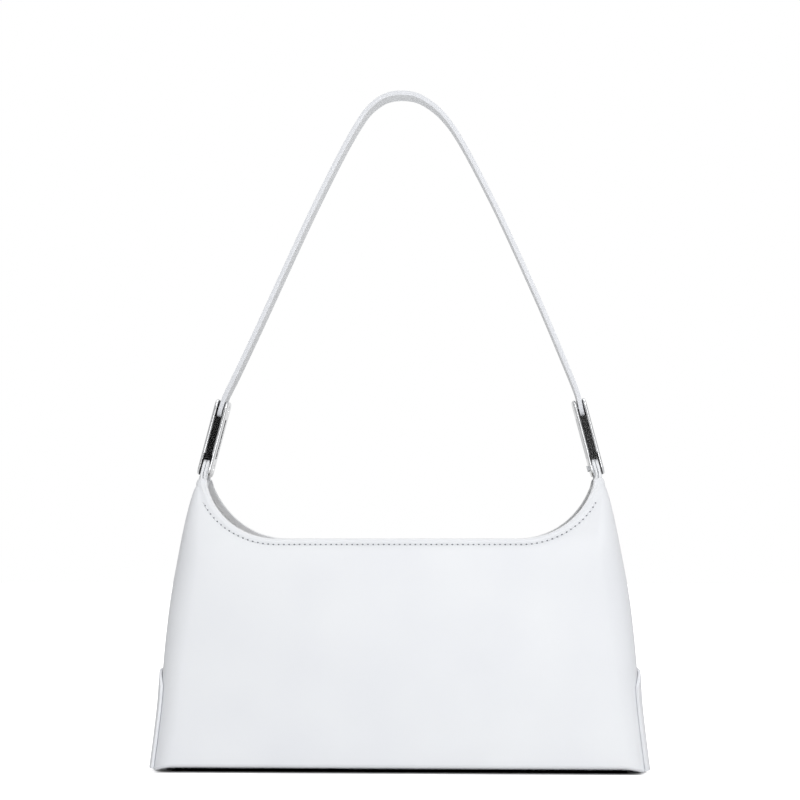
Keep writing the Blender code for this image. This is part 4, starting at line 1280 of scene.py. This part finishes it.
# %% Ear welts
WELT_HALF = 0.8 * MM
RIM_LANES = (0.8 * MM, 2.6 * MM)
PLY_LANES = (EAR_STACK - PANEL / 2, PANEL / 2)
WELT_RUN = 15.0 * MM
WELT_CORNER = 2.5 * MM
TAB_RUN = 4.0 * MM


def welt_centres(side, rim_lane, ply_lane):
    """Down the front edge of one ply below the screw, then along the rim until the welt has faded."""
    tab = [SHOULDER + TAB_RUN * (1 - k / 6) for k in range(6)]
    centres = [Vector((side * (half_width(z) - ply_lane / math.cos(LEAN)), -TAB_HALF, z)) for z in tab]
    rim = rim_moved(lambda z: rim_lane, SHOULDER - WELT_CORNER)
    rim = sorted((p for p in rim if p.x * side > 0 and p.y > SHOULDER - WELT_RUN), key=lambda p: -p.y)
    centres += [front_surface(p.x, p.y) for p in rim]
    for _ in range(4):
        inner = [(a + 2 * b + c) / 4 for a, b, c in zip(centres, centres[1:], centres[2:])]
        centres = centres[:1] + inner + centres[-1:]
    return centres


def welt(side, rim_lane, ply_lane):
    centres = welt_centres(side, rim_lane, ply_lane)
    last = len(centres) - 1
    path = []
    for i, centre in enumerate(centres):
        along = (centres[min(i + 1, last)] - centres[max(i - 1, 0)]).normalized()
        across = along.cross(Vector((0.0, -1.0, 0.0))).normalized()
        out = across.cross(along)
        size = min(0.1 + 1.8 * (1 - i / last), 1.0)
        path.append((centre - out * 0.1 * WELT_HALF, across * size, out * size))
    return oval_tube(path, 2 * WELT_HALF, WELT_HALF)


for label, turn, _ in walls_sewn:
    for side, hand in ((-1, "left"), (1, "right")):
        for ply, (rim_lane, ply_lane) in enumerate(zip(RIM_LANES, PLY_LANES), 1):
            piece = welt(side, rim_lane, ply_lane)
            piece.data.transform(turn)
            dressed(piece, "%s_welt_%s_%d" % (label, hand, ply), edge_paint, "body", "leather")

# %% [markdown]
# **The studio.** A white floor, soft light from all round, and three large soft lamps: one from the front right, one
# from the camera's side and one from above. The floor is drawn white for the camera, except right around the bag's
# foot, where it keeps the shadow. Under the bag it is painted nearly black, which deepens that shadow. The side walls
# of the room are darker, the left one most, so the bag's corners turn grey. Mirrors are given a brighter room than
# matt surfaces, which no real room does. A dark card that only mirrors can see stands behind the camera: polished
# chrome needs something dark to show its shape.

# %% Floor and world
WHITE = (1.0, 1.0, 1.0, 1.0)
FOOT_X = 131.0 * MM
FOOT_Y = 36.0 * MM
SHADOW_REACH = 9.0 * MM
PAINT_FROM = -6.0 * MM
PAINT_TO = 3.0 * MM
deselect()
bpy.ops.mesh.primitive_plane_add(size=8.0)
floor = bpy.context.object
floor.name = "studio_floor"
floor_paper = bpy.data.materials.new("white_studio_paper")
floor_paper.use_nodes = True
tree = floor_paper.node_tree
tree.nodes.clear()
axes = add_node(tree, "ShaderNodeSeparateXYZ", {}, {"Vector": object_place(tree)})
past_x = math_of(tree, "SUBTRACT", math_of(tree, "ABSOLUTE", axes.outputs["X"]), FOOT_X)
past_y = math_of(tree, "SUBTRACT", math_of(tree, "ABSOLUTE", axes.outputs["Y"]), FOOT_Y)
past = math_of(tree, "MAXIMUM", past_x, past_y)
clear = ranged(tree, past, 0.0, 1.0, 0.0, SHADOW_REACH, smooth=True)
glow = math_of(tree, "MULTIPLY", clear, add_node(tree, "ShaderNodeLightPath").outputs["Is Camera Ray"])
tone = toned(tree, ranged(tree, past, 0.0, 1.0, PAINT_FROM, PAINT_TO), "#101010", "#F6F6F6")
paper = add_node(tree, "ShaderNodeBsdfDiffuse", {}, {"Color": tone})
white = add_node(tree, "ShaderNodeEmission", {"Color": WHITE}, {"Strength": glow})
both = add_node(tree, "ShaderNodeAddShader", {}, {0: paper.outputs["BSDF"], 1: white.outputs["Emission"]})
add_node(tree, "ShaderNodeOutputMaterial", {}, {"Surface": both.outputs["Shader"]})
floor.data.materials.append(floor_paper)

ROOM_LIGHT = 0.62
MIRROR_ROOM = 0.9
LEFT_WALL = 0.5
RIGHT_WALL = 0.42
BRIGHTEST_X = 0.3
world = bpy.data.worlds.new("soft_room")
bpy.context.scene.world = world
world.use_nodes = True
tree = world.node_tree
tree.nodes.clear()
rays = add_node(tree, "ShaderNodeLightPath")
toward = add_node(tree, "ShaderNodeTexCoord").outputs["Generated"]
sideways = add_node(tree, "ShaderNodeSeparateXYZ", {}, {"Vector": toward}).outputs["X"]
leftward = ranged(tree, sideways, 0.0, LEFT_WALL, BRIGHTEST_X, -1.0)
rightward = ranged(tree, sideways, 0.0, RIGHT_WALL, BRIGHTEST_X, 1.0)
shade = math_of(tree, "ADD", leftward, rightward)
room = ranged(tree, rays.outputs["Is Glossy Ray"], ROOM_LIGHT, MIRROR_ROOM)
walls = ranged(tree, shade, room, 0.0)
level = ranged(tree, rays.outputs["Is Camera Ray"], walls, 1.0)
sky = add_node(tree, "ShaderNodeBackground", {"Color": WHITE}, {"Strength": level})
add_node(tree, "ShaderNodeOutputWorld", {}, {"Surface": sky.outputs["Background"]})
print("floor and world are set, room light", ROOM_LIGHT)

# %% Lamps and the dark card
CARD_PLACE = (-0.055, -1.35, 0.26)
CARD_SIZE = (0.62, 0.22, 1.0)


def soft_lamp(name, place, target, size, watts):
    lamp = bpy.data.lights.new(name, "AREA")
    lamp.shape = "SQUARE"
    lamp.size = size
    lamp.energy = watts
    holder = bpy.data.objects.new(name, lamp)
    bpy.context.scene.collection.objects.link(holder)
    holder.location = place
    aim = Vector(target) - Vector(place)
    holder.rotation_euler = aim.to_track_quat("-Z", "Y").to_euler()
    return holder


soft_lamp("key", (0.9, -1.5, 1.3), (0.0, 0.0, 0.12), 1.2, 7.2)
soft_lamp("fill", (0.15, -1.75, 0.5), (0.0, 0.0, 0.13), 0.9, 8.3)
soft_lamp("top", (0.0, 0.1, 1.8), (0.0, 0.0, 0.1), 1.4, 7.0)

deselect()
bpy.ops.mesh.primitive_plane_add(size=1.0, location=CARD_PLACE, rotation=(math.pi / 2, 0.0, 0.0))
card = bpy.context.object
card.name = "dark_card"
card.scale = CARD_SIZE
bpy.ops.object.transform_apply(location=True, rotation=True, scale=True)
BLACK = {"Base Color": (0.0, 0.0, 0.0, 1.0), "Roughness": 1.0, "Specular IOR Level": 0.0}
card.data.materials.append(new_finish("black_card", BLACK)[0])
card.visible_camera = False
card.visible_diffuse = False
card.visible_shadow = False
bpy.context.scene.view_settings.view_transform = "Standard"
